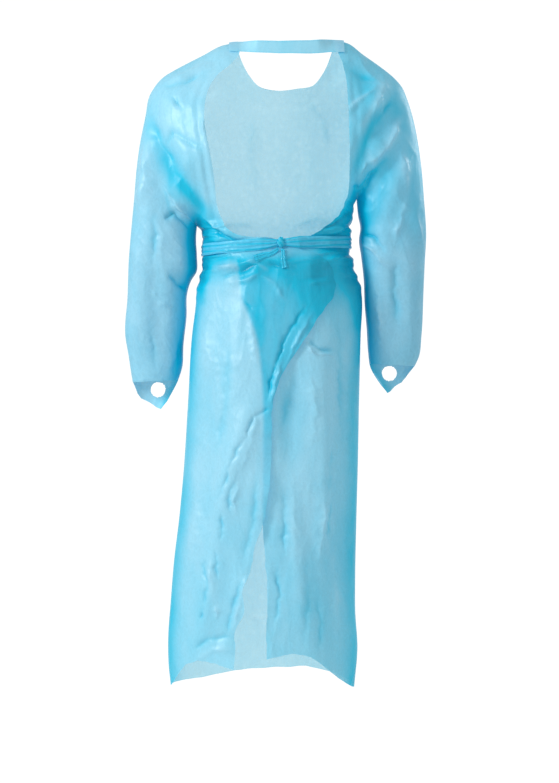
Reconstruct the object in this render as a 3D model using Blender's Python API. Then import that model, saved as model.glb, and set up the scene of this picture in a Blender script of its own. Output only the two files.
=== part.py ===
"""Open-back isolation gown of thin plastic film, in its worn, hollow form.

Metres, +Z up. The wearer would face +Y, so the open back faces -Y, and +X is the wearer's right.
The origin is the middle of the neck, at the height where the gown rests on the shoulders.

The gown is laid out in the front view (x across, z up). Two sheets, front and back, leave the
outline there and swell away from the middle plane, as film does that hangs off a general figure.
Sleeves, front and back panels are cut out of those two sheets, so that their seams meet.
"""
import math

import bpy
import numpy as np
from mathutils.bvhtree import BVHTree

# Driving sizes: walls, gaps, the swell's roundness, tie, strap, thumb hole and edges
WALL = 0.0016
SEAM_GAP = 0.0003
FLAP_LIFT = 0.0026
ROUNDNESS = 2.2
TIE_HALF_HEIGHT = 0.0105
TIE_WALL = 0.0012
SEAT_GAP = 0.0004
TIE_PLEAT = 0.0011
TIE_END_WAVE = 0.0004
SEAT_START = 0.0060
STRAP_WALL = 0.0014
STRAP_CLEAR = 0.0009
STRAP_BACK = 0.050
STRAP_BOW = 0.006
THUMB_HOLE_WIDTH = 0.0275
EDGE_FLARE = 0.0050
EDGE_FLARE_WIDTH = 0.020
EDGE_WAVE_LENGTH = 0.170
OPENING_STAND_OFF = 0.0035
OUTLINE_FADE = 0.022
SLEEVE_DRIFT = 0.038
BODY_REACH = 0.140

# Waist: the groove under the tie, the puffs on both sides of it, and the gathers
GROOVE_DEPTH = 0.0045
GROOVE_HALF = 0.013
PUFF_HEIGHT = 0.0040
PUFF_OFFSET = 0.030
PUFF_HALF = 0.014
GATHER_HEIGHT = 0.0042
GATHER_LENGTH = {"back": 0.048, "front": 0.041}
GATHER_PHASE = 0.7
GATHER_OFFSET = 0.040
GATHER_HALF = 0.035
GATHER_START = 0.010
GATHER_GROW = 0.020
FRONT_WAIST_SHARE = 0.35

# How finely the panels are divided
ARM_STEPS = 11
RIDGE_STEPS = 10
FLAP_STEPS = 10
NECK_STEPS = 10
RING_STEPS = 22
TIE_STEPS = 30
STRAP_STEPS = 24
CORNER_ROW = 12
WAIST_ROW = 15
LINE_POINTS = 160

# Each film panel is built in lengths, so that its collision follows the hollow inside it closely:
# the body's panels meet under the waist tie. Length, its first row or ring, the row that ends it
LAST_ROW = 99
PANEL_LENGTHS = (("top", 0, WAIST_ROW), ("skirt", WAIST_ROW, LAST_ROW))
SLEEVE_LENGTHS = (("upper", 0, 6), ("fore", 6, 12), ("cuff", 12, LAST_ROW))

# Neck points, where the shoulder ridge meets the neck, and the underarm points: x, z
NECK = {"left": (-0.078, 0.009), "right": (0.104, 0.013)}
UNDERARM = {"left": (-0.151, -0.329), "right": (0.1443, -0.2793)}

# Shoulder ridge, then the outer side of the sleeve, down to the thumb tab: x, z
OUTER = {
    "left": ((-0.078, 0.009), (-0.104, 0.004), (-0.140, -0.015), (-0.169, -0.030),
             (-0.195, -0.044), (-0.217, -0.059), (-0.230, -0.075), (-0.238, -0.089),
             (-0.246, -0.128), (-0.256, -0.178), (-0.262, -0.222), (-0.267, -0.281),
             (-0.272, -0.335), (-0.277, -0.392), (-0.280, -0.459), (-0.285, -0.533),
             (-0.280, -0.565), (-0.274, -0.607), (-0.269, -0.636), (-0.263, -0.672)),
    "right": ((0.104, 0.013), (0.128, 0.008), (0.156, -0.013), (0.180, -0.030),
              (0.200, -0.045), (0.216, -0.059), (0.229, -0.075), (0.237, -0.094),
              (0.249, -0.133), (0.258, -0.178), (0.264, -0.222), (0.269, -0.281),
              (0.273, -0.348), (0.271, -0.392), (0.269, -0.448), (0.266, -0.533),
              (0.262, -0.570), (0.252, -0.592), (0.241, -0.612), (0.236, -0.638)),
}
# Inner side of the sleeve, from the underarm down: x, z
INNER = {
    "left": ((-0.151, -0.329), (-0.1525, -0.352), (-0.151, -0.385), (-0.152, -0.414),
             (-0.162, -0.430), (-0.169, -0.451), (-0.171, -0.496), (-0.177, -0.548),
             (-0.180, -0.592), (-0.188, -0.616), (-0.214, -0.672)),
    "right": ((0.1443, -0.2793), (0.1475, -0.311), (0.1515, -0.333), (0.149, -0.355),
              (0.153, -0.385), (0.158, -0.429), (0.160, -0.474), (0.164, -0.518),
              (0.167, -0.562), (0.171, -0.590), (0.198, -0.638)),
}
# Side of the body, from the underarm to the hem: x, z
SIDE = {
    "left": ((-0.151, -0.329), (-0.1425, -0.342), (-0.140, -0.370), (-0.139, -0.385),
             (-0.142, -0.414), (-0.151, -0.444), (-0.153, -0.474), (-0.160, -0.533),
             (-0.167, -0.651), (-0.176, -0.790), (-0.184, -0.873), (-0.193, -0.947),
             (-0.199, -1.021), (-0.204, -1.095), (-0.203, -1.140), (-0.199, -1.178)),
    "right": ((0.1443, -0.2793), (0.1385, -0.298), (0.136, -0.340), (0.1315, -0.370),
              (0.1355, -0.385), (0.143, -0.414), (0.152, -0.444), (0.154, -0.459),
              (0.152, -0.533), (0.149, -0.651), (0.147, -0.760), (0.144, -0.873),
              (0.142, -0.970), (0.142, -1.040), (0.146, -1.110), (0.140, -1.180)),
}
# Seam between body and sleeve, from under the shoulder ridge to the underarm: x, z, and the
# height at which it starts on the ridge
ARMHOLE = {
    "left": ((-0.219, -0.110), (-0.212, -0.180), (-0.190, -0.250), (-0.168, -0.300),
             (-0.151, -0.329)),
    "right": ((0.217, -0.100), (0.208, -0.155), (0.185, -0.210), (0.162, -0.252),
              (0.1443, -0.2793)),
}
ARMHOLE_TOP = -0.0545
# Neckline of the front, from one neck point to the other: x, z
NECKLINE = ((-0.078, 0.009), (-0.070, -0.014), (-0.056, -0.040), (-0.036, -0.060),
            (-0.006, -0.0665), (0.034, -0.0635), (0.064, -0.058), (0.084, -0.036),
            (0.097, -0.009), (0.104, 0.013))
# Edge of the back opening from the neck to the waist, where the flap turns across: x, z
OPENING = {
    "left": ((-0.078, 0.009), (-0.071, -0.016), (-0.086, -0.040), (-0.109, -0.062),
             (-0.123, -0.084), (-0.131, -0.110), (-0.133, -0.140), (-0.129, -0.175),
             (-0.121, -0.215), (-0.114, -0.260), (-0.108, -0.306), (-0.094, -0.336)),
    "right": ((0.104, 0.013), (0.109, -0.016), (0.117, -0.044), (0.122, -0.068),
              (0.125, -0.112), (0.127, -0.166), (0.128, -0.220), (0.1255, -0.262),
              (0.119, -0.290), (0.109, -0.313)),
}
# Upper edge of each flap, across the waist: x, z
FLAP_TOP = {
    "left": ((-0.094, -0.336), (-0.076, -0.350), (-0.048, -0.356), (-0.018, -0.357),
             (0.008, -0.366), (0.046, -0.382), (0.078, -0.394), (0.096, -0.412)),
    "right": ((0.109, -0.313), (0.088, -0.336), (0.060, -0.354), (0.030, -0.364),
              (0.005, -0.370), (-0.030, -0.382), (-0.060, -0.402), (-0.072, -0.425)),
}
# Free edge of each flap, from the waist to the hem: x, z
FLAP_EDGE = {
    "left": ((0.096, -0.412), (0.101, -0.452), (0.069, -0.505), (0.040, -0.552),
             (0.000, -0.620), (-0.010, -0.655), (-0.012, -0.742), (-0.023, -0.850),
             (-0.031, -0.884), (-0.044, -0.918), (-0.048, -0.950), (-0.062, -0.992),
             (-0.060, -1.028), (-0.078, -1.070), (-0.078, -1.100), (-0.080, -1.135)),
    "right": ((-0.072, -0.425), (-0.069, -0.452), (-0.039, -0.543), (-0.030, -0.615),
              (-0.028, -0.740), (-0.028, -0.880), (-0.024, -0.941), (-0.019, -0.993),
              (-0.021, -1.060), (-0.022, -1.117)),
}
# Heights of the rows down each side seam, below the underarm
SIDE_ROWS = {
    "left": (-0.341, -0.353, -0.365, -0.377, -0.390, -0.406, -0.427, -0.454, -0.492, -0.540,
             -0.600, -0.660, -0.720, -0.780, -0.840, -0.900, -0.960, -1.020, -1.075, -1.130,
             -1.178),
    "right": (-0.300, -0.321, -0.341, -0.360, -0.378, -0.397, -0.420, -0.450, -0.490, -0.540,
              -0.600, -0.660, -0.720, -0.780, -0.840, -0.900, -0.960, -1.020, -1.075, -1.130,
              -1.180),
}
# Hem heights across each panel: share of the way from its left or side edge, z
HEM = {
    "front": ((0.0, -1.178), (0.16, -1.179), (0.34, -1.167), (0.50, -1.164), (0.74, -1.159),
              (0.88, -1.166), (1.0, -1.180)),
    "left": ((0.0, -1.178), (0.12, -1.153), (0.26, -1.129), (0.45, -1.121), (0.62, -1.123),
             (0.80, -1.128), (1.0, -1.135)),
    "right": ((0.0, -1.180), (0.18, -1.157), (0.36, -1.130), (0.50, -1.114), (0.66, -1.107),
              (0.80, -1.109), (1.0, -1.117)),
}
# How far the body's sheets stand from the middle plane: z, front, back
BODY_DEPTH = ((0.020, 0.070, 0.066), (-0.050, 0.088, 0.084), (-0.120, 0.106, 0.103),
              (-0.200, 0.118, 0.112), (-0.280, 0.117, 0.104), (-0.366, 0.110, 0.094),
              (-0.450, 0.113, 0.107), (-0.580, 0.119, 0.121), (-0.750, 0.122, 0.119),
              (-0.950, 0.125, 0.116), (-1.180, 0.129, 0.115))
# The same for a sleeve, and how far in from its edge it is full: z, depth, reach
SLEEVE_DEPTH = ((-0.040, 0.074, 0.085), (-0.150, 0.074, 0.072), (-0.250, 0.067, 0.064),
                (-0.330, 0.061, 0.060), (-0.450, 0.056, 0.056), (-0.550, 0.046, 0.052),
                (-0.615, 0.036, 0.044), (-0.672, 0.016, 0.030))
# Sleeve rings: height at the outer side, height at the inner side
RINGS = {
    "left": ((-0.085, -0.340), (-0.125, -0.350), (-0.172, -0.359), (-0.225, -0.368),
             (-0.280, -0.378), (-0.330, -0.391), (-0.372, -0.408), (-0.412, -0.429),
             (-0.448, -0.453), (-0.482, -0.480), (-0.518, -0.515), (-0.548, -0.545),
             (-0.580, -0.575), (-0.600, -0.596), (-0.618, -0.614)),
    "right": ((-0.082, -0.295), (-0.115, -0.307), (-0.155, -0.318), (-0.200, -0.329),
              (-0.248, -0.341), (-0.295, -0.356), (-0.340, -0.374), (-0.380, -0.396),
              (-0.416, -0.421), (-0.450, -0.449), (-0.486, -0.483), (-0.518, -0.515),
              (-0.548, -0.544), (-0.570, -0.566), (-0.588, -0.584)),
}
# Where each sleeve's front layer ends below its back layer: share of the way across, drop
THUMB_TAB = ((0.0, 0.000), (0.06, 0.022), (0.14, 0.031), (0.40, 0.040), (0.66, 0.050),
             (0.84, 0.054), (0.94, 0.040), (1.0, 0.000))
THUMB_HOLE = {"left": (-0.2266, -0.6320), "right": (0.2085, -0.6015)}
# Line of the waist tie: x, z
TIE_LINE = ((-0.150, -0.3760), (-0.080, -0.3735), (-0.020, -0.3690), (0.0045, -0.3665),
            (0.040, -0.3655), (0.090, -0.3640), (0.150, -0.3610))
KNOT = (0.0045, -0.3665)
KNOT_HALF = (0.0072, 0.0048, 0.0098)
# Middle and half width of the waist in x, and where the tie starts, in radians before the seam
WAIST_MIDDLE = -0.004
WAIST_HALF = 0.136
TIE_START = 0.13
# Free ends of the tie, lying on the flap below the knot: x, z, half width
TIE_ENDS = {
    "left": ((0.0000, -0.3785, 0.0028), (-0.0120, -0.3870, 0.0042), (-0.0270, -0.3905, 0.0058),
             (-0.0430, -0.3970, 0.0070)),
    "right": ((0.0072, -0.3785, 0.0026), (0.0090, -0.3900, 0.0036), (0.0085, -0.4010, 0.0046),
              (0.0110, -0.4130, 0.0054)),
}
# Neck strap from its left end to its right end: x, z, half height
STRAP = ((-0.0905, -0.0040, 0.0112), (-0.0640, -0.0060, 0.0112), (0.0000, -0.0085, 0.0118),
         (0.0600, -0.0080, 0.0126), (0.0950, -0.0050, 0.0132), (0.1200, -0.0040, 0.0136))

# Largest folds: sheet, from x, z, through x, z, to x, z, height, half width
FOLDS = (
    ("back", -0.236, -0.150, -0.190, -0.240, -0.140, -0.290, -0.0143, 0.019),
    ("back", 0.226, -0.120, 0.170, -0.172, 0.139, -0.232, -0.0110, 0.018),
    ("back", 0.190, -0.066, 0.172, -0.105, 0.150, -0.146, 0.0055, 0.014),
    ("back", 0.226, -0.186, 0.214, -0.255, 0.194, -0.335, 0.0078, 0.018),
    ("back", -0.243, -0.190, -0.246, -0.270, -0.232, -0.350, 0.0059, 0.018),
    ("back", -0.226, -0.390, -0.226, -0.470, -0.214, -0.560, -0.0059, 0.017),
    ("back", 0.214, -0.380, 0.222, -0.450, 0.214, -0.530, -0.0059, 0.017),
    ("back", -0.040, -0.640, -0.088, -0.780, -0.110, -0.905, 0.0090, 0.019),
    ("back", -0.112, -0.900, -0.118, -0.980, -0.140, -1.080, 0.0083, 0.018),
    ("back", -0.100, -0.470, -0.124, -0.640, -0.146, -0.860, -0.0075, 0.022),
    ("back", 0.022, -0.560, 0.023, -0.680, 0.020, -0.820, -0.0083, 0.020),
    ("back", 0.076, -0.520, 0.086, -0.760, 0.078, -0.960, 0.0083, 0.020),
    ("back", 0.040, -0.880, 0.042, -0.990, 0.050, -1.090, 0.0067, 0.018),
    ("back", 0.110, -0.620, 0.112, -0.860, 0.106, -1.120, -0.0067, 0.018),
    ("front", -0.234, -0.140, -0.196, -0.235, -0.148, -0.285, -0.0130, 0.020),
    ("front", 0.228, -0.130, 0.178, -0.190, 0.144, -0.240, -0.0100, 0.019),
    ("front", -0.060, -0.090, -0.085, -0.190, -0.100, -0.310, 0.0045, 0.022),
    ("front", 0.082, -0.090, 0.092, -0.180, 0.098, -0.300, 0.0045, 0.022),
    ("front", -0.110, -0.440, -0.128, -0.760, -0.138, -1.150, 0.0090, 0.024),
    ("front", -0.052, -0.430, -0.068, -0.700, -0.080, -1.140, -0.0083, 0.024),
    ("front", -0.010, -0.450, -0.016, -0.780, -0.030, -1.150, 0.0083, 0.025),
    ("front", 0.040, -0.430, 0.038, -0.720, 0.030, -1.140, -0.0083, 0.023),
    ("front", 0.084, -0.450, 0.082, -0.800, 0.080, -1.150, 0.0090, 0.022),
    ("front", -0.228, -0.380, -0.230, -0.460, -0.220, -0.560, 0.0059, 0.017),
    ("front", 0.216, -0.360, 0.220, -0.450, 0.212, -0.540, 0.0059, 0.017),
)

FILM_BLUE = (0.12, 0.55, 0.78, 1.0)
TIE_BLUE = (0.06, 0.42, 0.68, 1.0)
SLEEVE_BLUE = (0.22, 0.62, 0.84, 1.0)


def clear_scene():
    """Start from an empty scene."""
    for item in list(bpy.data.objects):
        bpy.data.objects.remove(item, do_unlink=True)


def ease(value):
    """Smooth step from 0 to 1."""
    t = np.clip(value, 0.0, 1.0)
    return t * t * (3.0 - 2.0 * t)


def smooth_line(rows):
    """Finely divided smooth curve through the rows, a cubic between each two."""
    points = np.array(rows, float)
    length = np.concatenate(([0.0], np.cumsum(np.linalg.norm(np.diff(points, axis=0), axis=1))))
    slope = np.gradient(points, length, axis=0)
    place = np.linspace(0.0, length[-1], LINE_POINTS)
    index = np.clip(np.searchsorted(length, place, side="right") - 1, 0, len(points) - 2)
    span = (length[index + 1] - length[index])[:, None]
    t = (place - length[index])[:, None] / span
    start = (1 + 2 * t) * (1 - t) ** 2 * points[index] + t * (1 - t) ** 2 * span * slope[index]
    end = t * t * (3 - 2 * t) * points[index + 1] - t * t * (1 - t) * span * slope[index + 1]
    return start + end


def along(line, share):
    """Points at the given shares of a line's length."""
    length = np.concatenate(([0.0], np.cumsum(np.linalg.norm(np.diff(line, axis=0), axis=1))))
    place = np.asarray(share) * length[-1]
    return np.stack([np.interp(place, length, line[:, axis]) for axis in (0, 1)], axis=-1)


def across_at(line, z):
    """The x of a line that runs downward, at the heights z."""
    return np.interp(-np.asarray(z), -line[:, 1], line[:, 0])


def column(table, z, index):
    """One column of a table whose first column is z, going down."""
    rows = np.array(table)
    return np.interp(-np.asarray(z), -rows[:, 0], rows[:, index])


def side_lines(side):
    """All the smooth lines of one half of the gown; the armhole starts on the ridge itself."""
    outer = smooth_line(OUTER[side])
    top = (float(across_at(outer, ARMHOLE_TOP)), ARMHOLE_TOP)
    return {"outer": outer, "inner": smooth_line(INNER[side]), "side": smooth_line(SIDE[side]),
            "armhole": smooth_line((top,) + ARMHOLE[side]), "opening": smooth_line(OPENING[side]),
            "flap_top": smooth_line(FLAP_TOP[side]), "flap_edge": smooth_line(FLAP_EDGE[side])}


LINES = {"left": side_lines("left"), "right": side_lines("right")}
NECK_LINE = np.array([NECK["left"], NECK["right"]])
OUTLINE = [NECK_LINE] + [LINES[side][name] for side in LINES for name in ("outer", "inner", "side")]


def ridge_line(side):
    """The part of the outer line between the armhole and the neck, from the armhole inward."""
    line = LINES[side]["outer"]
    meet = LINES[side]["armhole"][0]
    inner = line[line[:, 1] > meet[1] + 1e-4]
    return np.concatenate(([meet], inner[::-1]))


def gap_to_lines(x, z, lines):
    """Shortest distance in the front view from each point to the lines."""
    nearest = np.full(x.shape, 9.0)
    for line in lines:
        start = line[:-1]
        step = np.diff(line, axis=0)
        dx = x[..., None] - start[:, 0]
        dz = z[..., None] - start[:, 1]
        t = np.clip((dx * step[:, 0] + dz * step[:, 1]) / (step ** 2).sum(axis=1), 0.0, 1.0)
        gap = np.hypot(dx - t * step[:, 0], dz - t * step[:, 1]).min(axis=-1)
        nearest = np.minimum(nearest, gap)
    return nearest


def body_share(x, z, is_body):
    """How much a point belongs to the body: 1 in it, 0 in a sleeve, a fan between them above."""
    share = np.ones(x.shape)
    for side, sign in (("left", -1.0), ("right", 1.0)):
        fork = UNDERARM[side][1]
        edge = across_at(LINES[side]["armhole"], z)
        fan = np.clip(0.016 + 0.30 * (z - fork), 0.012, 0.070)
        beyond = ease(0.5 + sign * (x - edge) / (2.0 * fan))
        beyond = np.where(z < fork - 1e-6, 0.0 if is_body else 1.0, beyond)
        share = np.where(sign * x > 0.0, 1.0 - beyond, share)
    return share


def body_reach(z):
    """Distance in from the body's edge at which its sheets are full."""
    half = 0.5 * (across_at(LINES["right"]["side"], z) - across_at(LINES["left"]["side"], z))
    return BODY_REACH + ease((-0.36 - z) / 0.12) * (half - BODY_REACH)


def base_sheet(x, z, sheet, is_body):
    """Place of the sheet in y: the middle plane plus the swell that grows in from the outline."""
    side = 1.0 if sheet == "front" else -1.0
    share = body_share(x, z, is_body)
    body_full = column(BODY_DEPTH, z, 1 if sheet == "front" else 2)
    full = share * body_full + (1.0 - share) * column(SLEEVE_DEPTH, z, 1)
    reach = share * body_reach(z) + (1.0 - share) * column(SLEEVE_DEPTH, z, 2)
    t = np.clip(gap_to_lines(x, z, OUTLINE) / reach, 0.0, 1.0)
    swell = full * (1.0 - (1.0 - t) ** ROUNDNESS) ** (1.0 / ROUNDNESS)
    middle = (1.0 - share) * SLEEVE_DRIFT * ease((-0.33 - z) / 0.34)
    return middle + side * swell


def gap_to_bend(x, z, bend):
    """Distance to a three-point line, and the place along it from 0 to 1."""
    nearest = np.full(x.shape, 9.0)
    place = np.zeros(x.shape)
    for part, (start, end) in enumerate(zip(bend[:-1], bend[1:])):
        step = (end[0] - start[0], end[1] - start[1])
        raw = ((x - start[0]) * step[0] + (z - start[1]) * step[1]) / (step[0] ** 2 + step[1] ** 2)
        t = np.clip(raw, 0.0, 1.0)
        gap = np.hypot(x - start[0] - t * step[0], z - start[1] - t * step[1])
        place = np.where(gap < nearest, 0.5 * (part + t), place)
        nearest = np.minimum(nearest, gap)
    return nearest, place


def fold_height(x, z, sheet):
    """Soft ridges and troughs: a bell across each fold, fading to its ends."""
    total = np.zeros(x.shape)
    for where, x0, z0, x1, z1, x2, z2, height, width in FOLDS:
        if where == sheet:
            gap, place = gap_to_bend(x, z, ((x0, z0), (x1, z1), (x2, z2)))
            total += height * np.exp(-(gap / width) ** 2) * np.sin(np.pi * (0.1 + 0.8 * place))
    return total


def tie_height(x):
    """Height of the waist tie's line at x."""
    line = np.array(TIE_LINE)
    return np.interp(x, line[:, 0], line[:, 1])


def waist_height(x, z, sheet):
    """The groove that the tie draws in, the puffs above and below it, and the gathers."""
    drop = np.abs(z - tie_height(x))
    strength = 1.0 if sheet == "back" else FRONT_WAIST_SHARE
    groove = -GROOVE_DEPTH * np.exp(-(drop / GROOVE_HALF) ** 2)
    puffs = PUFF_HEIGHT * np.exp(-((drop - PUFF_OFFSET) / PUFF_HALF) ** 2)
    fade = np.exp(-((drop - GATHER_OFFSET) / GATHER_HALF) ** 2)
    fade = fade * ease((drop - GATHER_START) / GATHER_GROW)
    wave = np.sin(2.0 * np.pi * x / GATHER_LENGTH[sheet] + GATHER_PHASE)
    gathers = GATHER_HEIGHT * wave * fade
    return strength * (groove + puffs) + gathers


def raise_sheet(x, z, sheet, is_body):
    """Height of folds above the plain sheet, dying away at the outline so that seams meet."""
    near_edge = ease(gap_to_lines(x, z, OUTLINE) / OUTLINE_FADE)
    height = fold_height(x, z, sheet)
    if is_body:
        height = height + waist_height(x, z, sheet) * ease((-0.27 - z) / 0.05)
    return height * near_edge


def flap_lift(x, z, side):
    """The outer flap stands off, and the inner flap is drawn in, where they overlap.

    Each free edge also flares a little, the outer one outward and the inner one inward.
    """
    low = ease((-0.285 - z) / 0.045)
    skirt = gap_to_lines(x, z, [LINES[side]["flap_edge"]])
    flare = EDGE_FLARE * np.exp(-(skirt / EDGE_FLARE_WIDTH) ** 2) * ease((-0.47 - z) / 0.12)
    start = 0.6 if side == "left" else 2.4
    wave = 0.55 + 0.45 * np.sin(2.0 * np.pi * z / EDGE_WAVE_LENGTH + start)
    stand = gap_to_lines(x, z, [LINES[side]["opening"]])
    off_back = OPENING_STAND_OFF * np.exp(-(stand / OUTLINE_FADE) ** 2)
    off_back = off_back * ease((z + 0.335) / 0.06) * ease((-0.030 - z) / 0.040)
    if side == "left":
        return FLAP_LIFT * ease((x + 0.130) / 0.050) * low + flare * wave + off_back
    return -FLAP_LIFT * ease((0.140 - x) / 0.040) * low - 0.6 * flare * wave + off_back


def boundary(side):
    """Points down one side of the body: the armhole, then the side seam."""
    share = 0.5 * (1.0 - np.cos(np.linspace(0.0, np.pi, ARM_STEPS + 1)))
    arm = along(LINES[side]["armhole"], share)
    heights = np.array(SIDE_ROWS[side])
    seam = np.stack([across_at(LINES[side]["side"], heights), heights], axis=-1)
    return np.concatenate([arm, seam])


def hem_offset(points, panel, share):
    """Bend the lowest rows so that the last one follows the panel's hem."""
    rows = np.array(HEM[panel])
    last = points[-1, :, 1].copy()
    wanted = np.interp(share, rows[:, 0], rows[:, 1])
    grow = ease((-0.80 - points[:, :, 1]) / 0.36)
    grow = grow / np.maximum(grow[-1], 1e-6)
    points[:, :, 1] += (wanted - last) * grow
    return points


def front_layout():
    """Front panel in the front view: rows from the shoulders and neckline to the hem."""
    left = boundary("left")
    right = boundary("right")
    columns = 2 * RIDGE_STEPS + NECK_STEPS
    even = np.linspace(0.0, 1.0, columns + 1)
    ridge_share = np.linspace(0.0, 1.0, RIDGE_STEPS + 1)
    neck_share = np.linspace(0.0, 1.0, NECK_STEPS + 1)
    top = np.concatenate([along(ridge_line("left"), ridge_share),
                          along(smooth_line(NECKLINE), neck_share)[1:],
                          along(ridge_line("right"), ridge_share)[::-1][1:]])
    top_share = (top[:, 0] - top[0, 0]) / (top[-1, 0] - top[0, 0])
    low_share = 0.46 * (1.0 - np.cos(np.pi * even)) + 0.08 * even
    row = np.arange(len(left))
    low = ease(row / ARM_STEPS)[:, None]
    share = low * low_share + (1.0 - low) * top_share
    points = left[:, None] + (right - left)[:, None] * share[..., None]
    fade = (np.clip(1.0 - row / ARM_STEPS, 0.0, 1.0) ** 1.4)[:, None, None]
    points = points + (top - points[0])[None] * fade
    return hem_offset(points, "front", share[-1])


def back_layout(side):
    """One back panel in the front view: columns from its side to the free edge."""
    edge = boundary(side)
    rows = len(edge)
    steps = RIDGE_STEPS + FLAP_STEPS
    opening = along(LINES[side]["opening"], ease(np.linspace(0.06, 0.96, CORNER_ROW + 1)))
    opening[0] = LINES[side]["opening"][0]
    opening[-1] = LINES[side]["opening"][-1]
    upper = np.linspace(0.0, 1.0, RIDGE_STEPS + 1)
    points = np.zeros((rows, steps + 1, 2))
    row = np.arange(CORNER_ROW + 1)
    top = along(ridge_line(side), upper)
    span = edge[:CORNER_ROW + 1, None] + (opening - edge[:CORNER_ROW + 1])[:, None] \
        * upper[None, :, None]
    fade = (np.clip(1.0 - row / ARM_STEPS, 0.0, 1.0) ** 1.4)[:, None, None]
    points[:CORNER_ROW + 1, :RIDGE_STEPS + 1] = span + (top - span[0])[None] * fade
    points[CORNER_ROW, RIDGE_STEPS:] = along(LINES[side]["flap_top"],
                                             np.linspace(0.0, 1.0, FLAP_STEPS + 1))
    even = np.linspace(0.0, 1.0, steps + 1)
    lower_share = 0.80 * (1.0 - np.cos(0.5 * np.pi * even)) + 0.20 * even
    below = np.arange(CORNER_ROW, rows)
    place = ((edge[below, 1] - edge[CORNER_ROW, 1]) / (edge[-1, 1] - edge[CORNER_ROW, 1]))
    free = along(LINES[side]["flap_edge"], place)
    straight = edge[below][:, None] + (free - edge[below])[:, None] * lower_share[None, :, None]
    bent = points[CORNER_ROW] - straight[0]
    settle = (1.0 - ease((below - CORNER_ROW) / 7.0))[:, None, None]
    points[CORNER_ROW:] = straight + bent[None] * settle
    return hem_offset(points, side, lower_share)


def sleeve_layout(side):
    """Sleeve rings in the front view: out, across the back, in, and across the front."""
    half = RING_STEPS // 2
    share = 0.5 * (1.0 - np.cos(np.linspace(0.0, np.pi, half + 1)))
    arm = along(LINES[side]["armhole"], share)
    rings = np.array(RINGS[side])
    outer = np.stack([across_at(LINES[side]["outer"], rings[:, 0]), rings[:, 0]], axis=-1)
    inner = np.stack([across_at(LINES[side]["inner"], rings[:, 1]), rings[:, 1]], axis=-1)
    straight = outer[:, None] + (inner - outer)[:, None] * share[None, :, None]
    chord = arm[0] + (arm[-1] - arm[0]) * share[:, None]
    settle = (1.0 - ease(np.arange(1, len(rings) + 1) / 5.0))[:, None, None]
    layer = np.concatenate([arm[None], straight + (arm - chord)[None] * settle])
    front = layer.copy()
    tab = np.array(THUMB_TAB)
    drop = np.interp(share, tab[:, 0], tab[:, 1])
    for ring, part in ((-3, 0.08), (-2, 0.45), (-1, 1.0)):
        low = layer[ring, :, 1] - part * drop
        left = across_at(LINES[side]["outer"], low)
        right = across_at(LINES[side]["inner"], low)
        front[ring] = np.stack([left + (right - left) * share, low], axis=-1)
    return layer, front


def panel_points(layout, sheet, is_body, lift=None):
    """Points in space for a layout, with the height that its folds add along the normal."""
    x = layout[..., 0]
    z = layout[..., 1]
    base = np.stack([x, base_sheet(x, z, sheet, is_body), z], axis=-1)
    height = raise_sheet(x, z, sheet, is_body)
    if lift is not None:
        near_edge = ease(gap_to_lines(x, z, OUTLINE) / OUTLINE_FADE)
        height = height + flap_lift(x, z, lift) * near_edge
    return base, height


def grid_faces(shape, wrap, length, narrow):
    """Quads of a grid, as point numbers, facing along row direction cross column direction.

    Only the rows of one length are used, and a narrow panel has no flap above its corner row.
    """
    rows, columns = shape
    faces = []
    for i in range(length[0], min(length[1], rows - 1)):
        for j in range(columns if wrap else columns - 1):
            if i >= CORNER_ROW or j < RIDGE_STEPS or not narrow:
                right = (j + 1) % columns
                faces.append((i * columns + j, (i + 1) * columns + j,
                              (i + 1) * columns + right, i * columns + right))
    return np.array(faces)


class Surface:
    """Outer surface of one piece: points in rows, the height of its folds, and its faces."""

    def __init__(self, name, base, height, wrap=False, flip=False, rows=(0, LAST_ROW), narrow=False):
        self.name = name
        self.points = base.reshape(-1, 3)
        self.height = height.reshape(-1)
        faces = grid_faces(base.shape[:2], wrap, rows, narrow)
        self.faces = faces[:, ::-1] if flip else faces
        self.normals = None
        self.apart = np.zeros(len(self.points))
        if name.startswith("sleeve"):
            for x, z in UNDERARM.values():
                self.apart += np.hypot(self.points[:, 0] - x, self.points[:, 2] - z) < 1e-4


def face_normals(points, faces):
    """Area-weighted normal of each quad."""
    first = points[faces[:, 2]] - points[faces[:, 0]]
    second = points[faces[:, 3]] - points[faces[:, 1]]
    return 0.5 * np.cross(first, second)


def share_normals(surfaces):
    """Point normals, summed over every piece that meets at a point, so that seams agree.

    At the underarm the sleeve and the body face each other, so the sleeve keeps its own there.
    """
    places = np.concatenate([np.round(s.points, 6) for s in surfaces])
    places = np.concatenate([places, np.concatenate([s.apart for s in surfaces])[:, None]], axis=1)
    total = np.zeros((len(places), 3))
    start = 0
    for surface in surfaces:
        weight = face_normals(surface.points, surface.faces)
        for corner in range(4):
            np.add.at(total, start + surface.faces[:, corner], weight)
        start += len(surface.points)
    group = np.unique(places, axis=0, return_inverse=True)[1].reshape(-1)
    summed = np.zeros((group.max() + 1, 3))
    np.add.at(summed, group, total)
    normals = summed[group]
    normals /= np.maximum(np.linalg.norm(normals, axis=1), 1e-12)[:, None]
    start = 0
    for surface in surfaces:
        surface.normals = normals[start:start + len(surface.points)]
        start += len(surface.points)


def boundary_edges(faces):
    """Edges that belong to one face only, in that face's direction."""
    edges = {}
    for face in faces:
        for a, b in zip(face, np.roll(face, -1)):
            edges[(int(a), int(b))] = True
    return [edge for edge in edges if (edge[1], edge[0]) not in edges]


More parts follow.
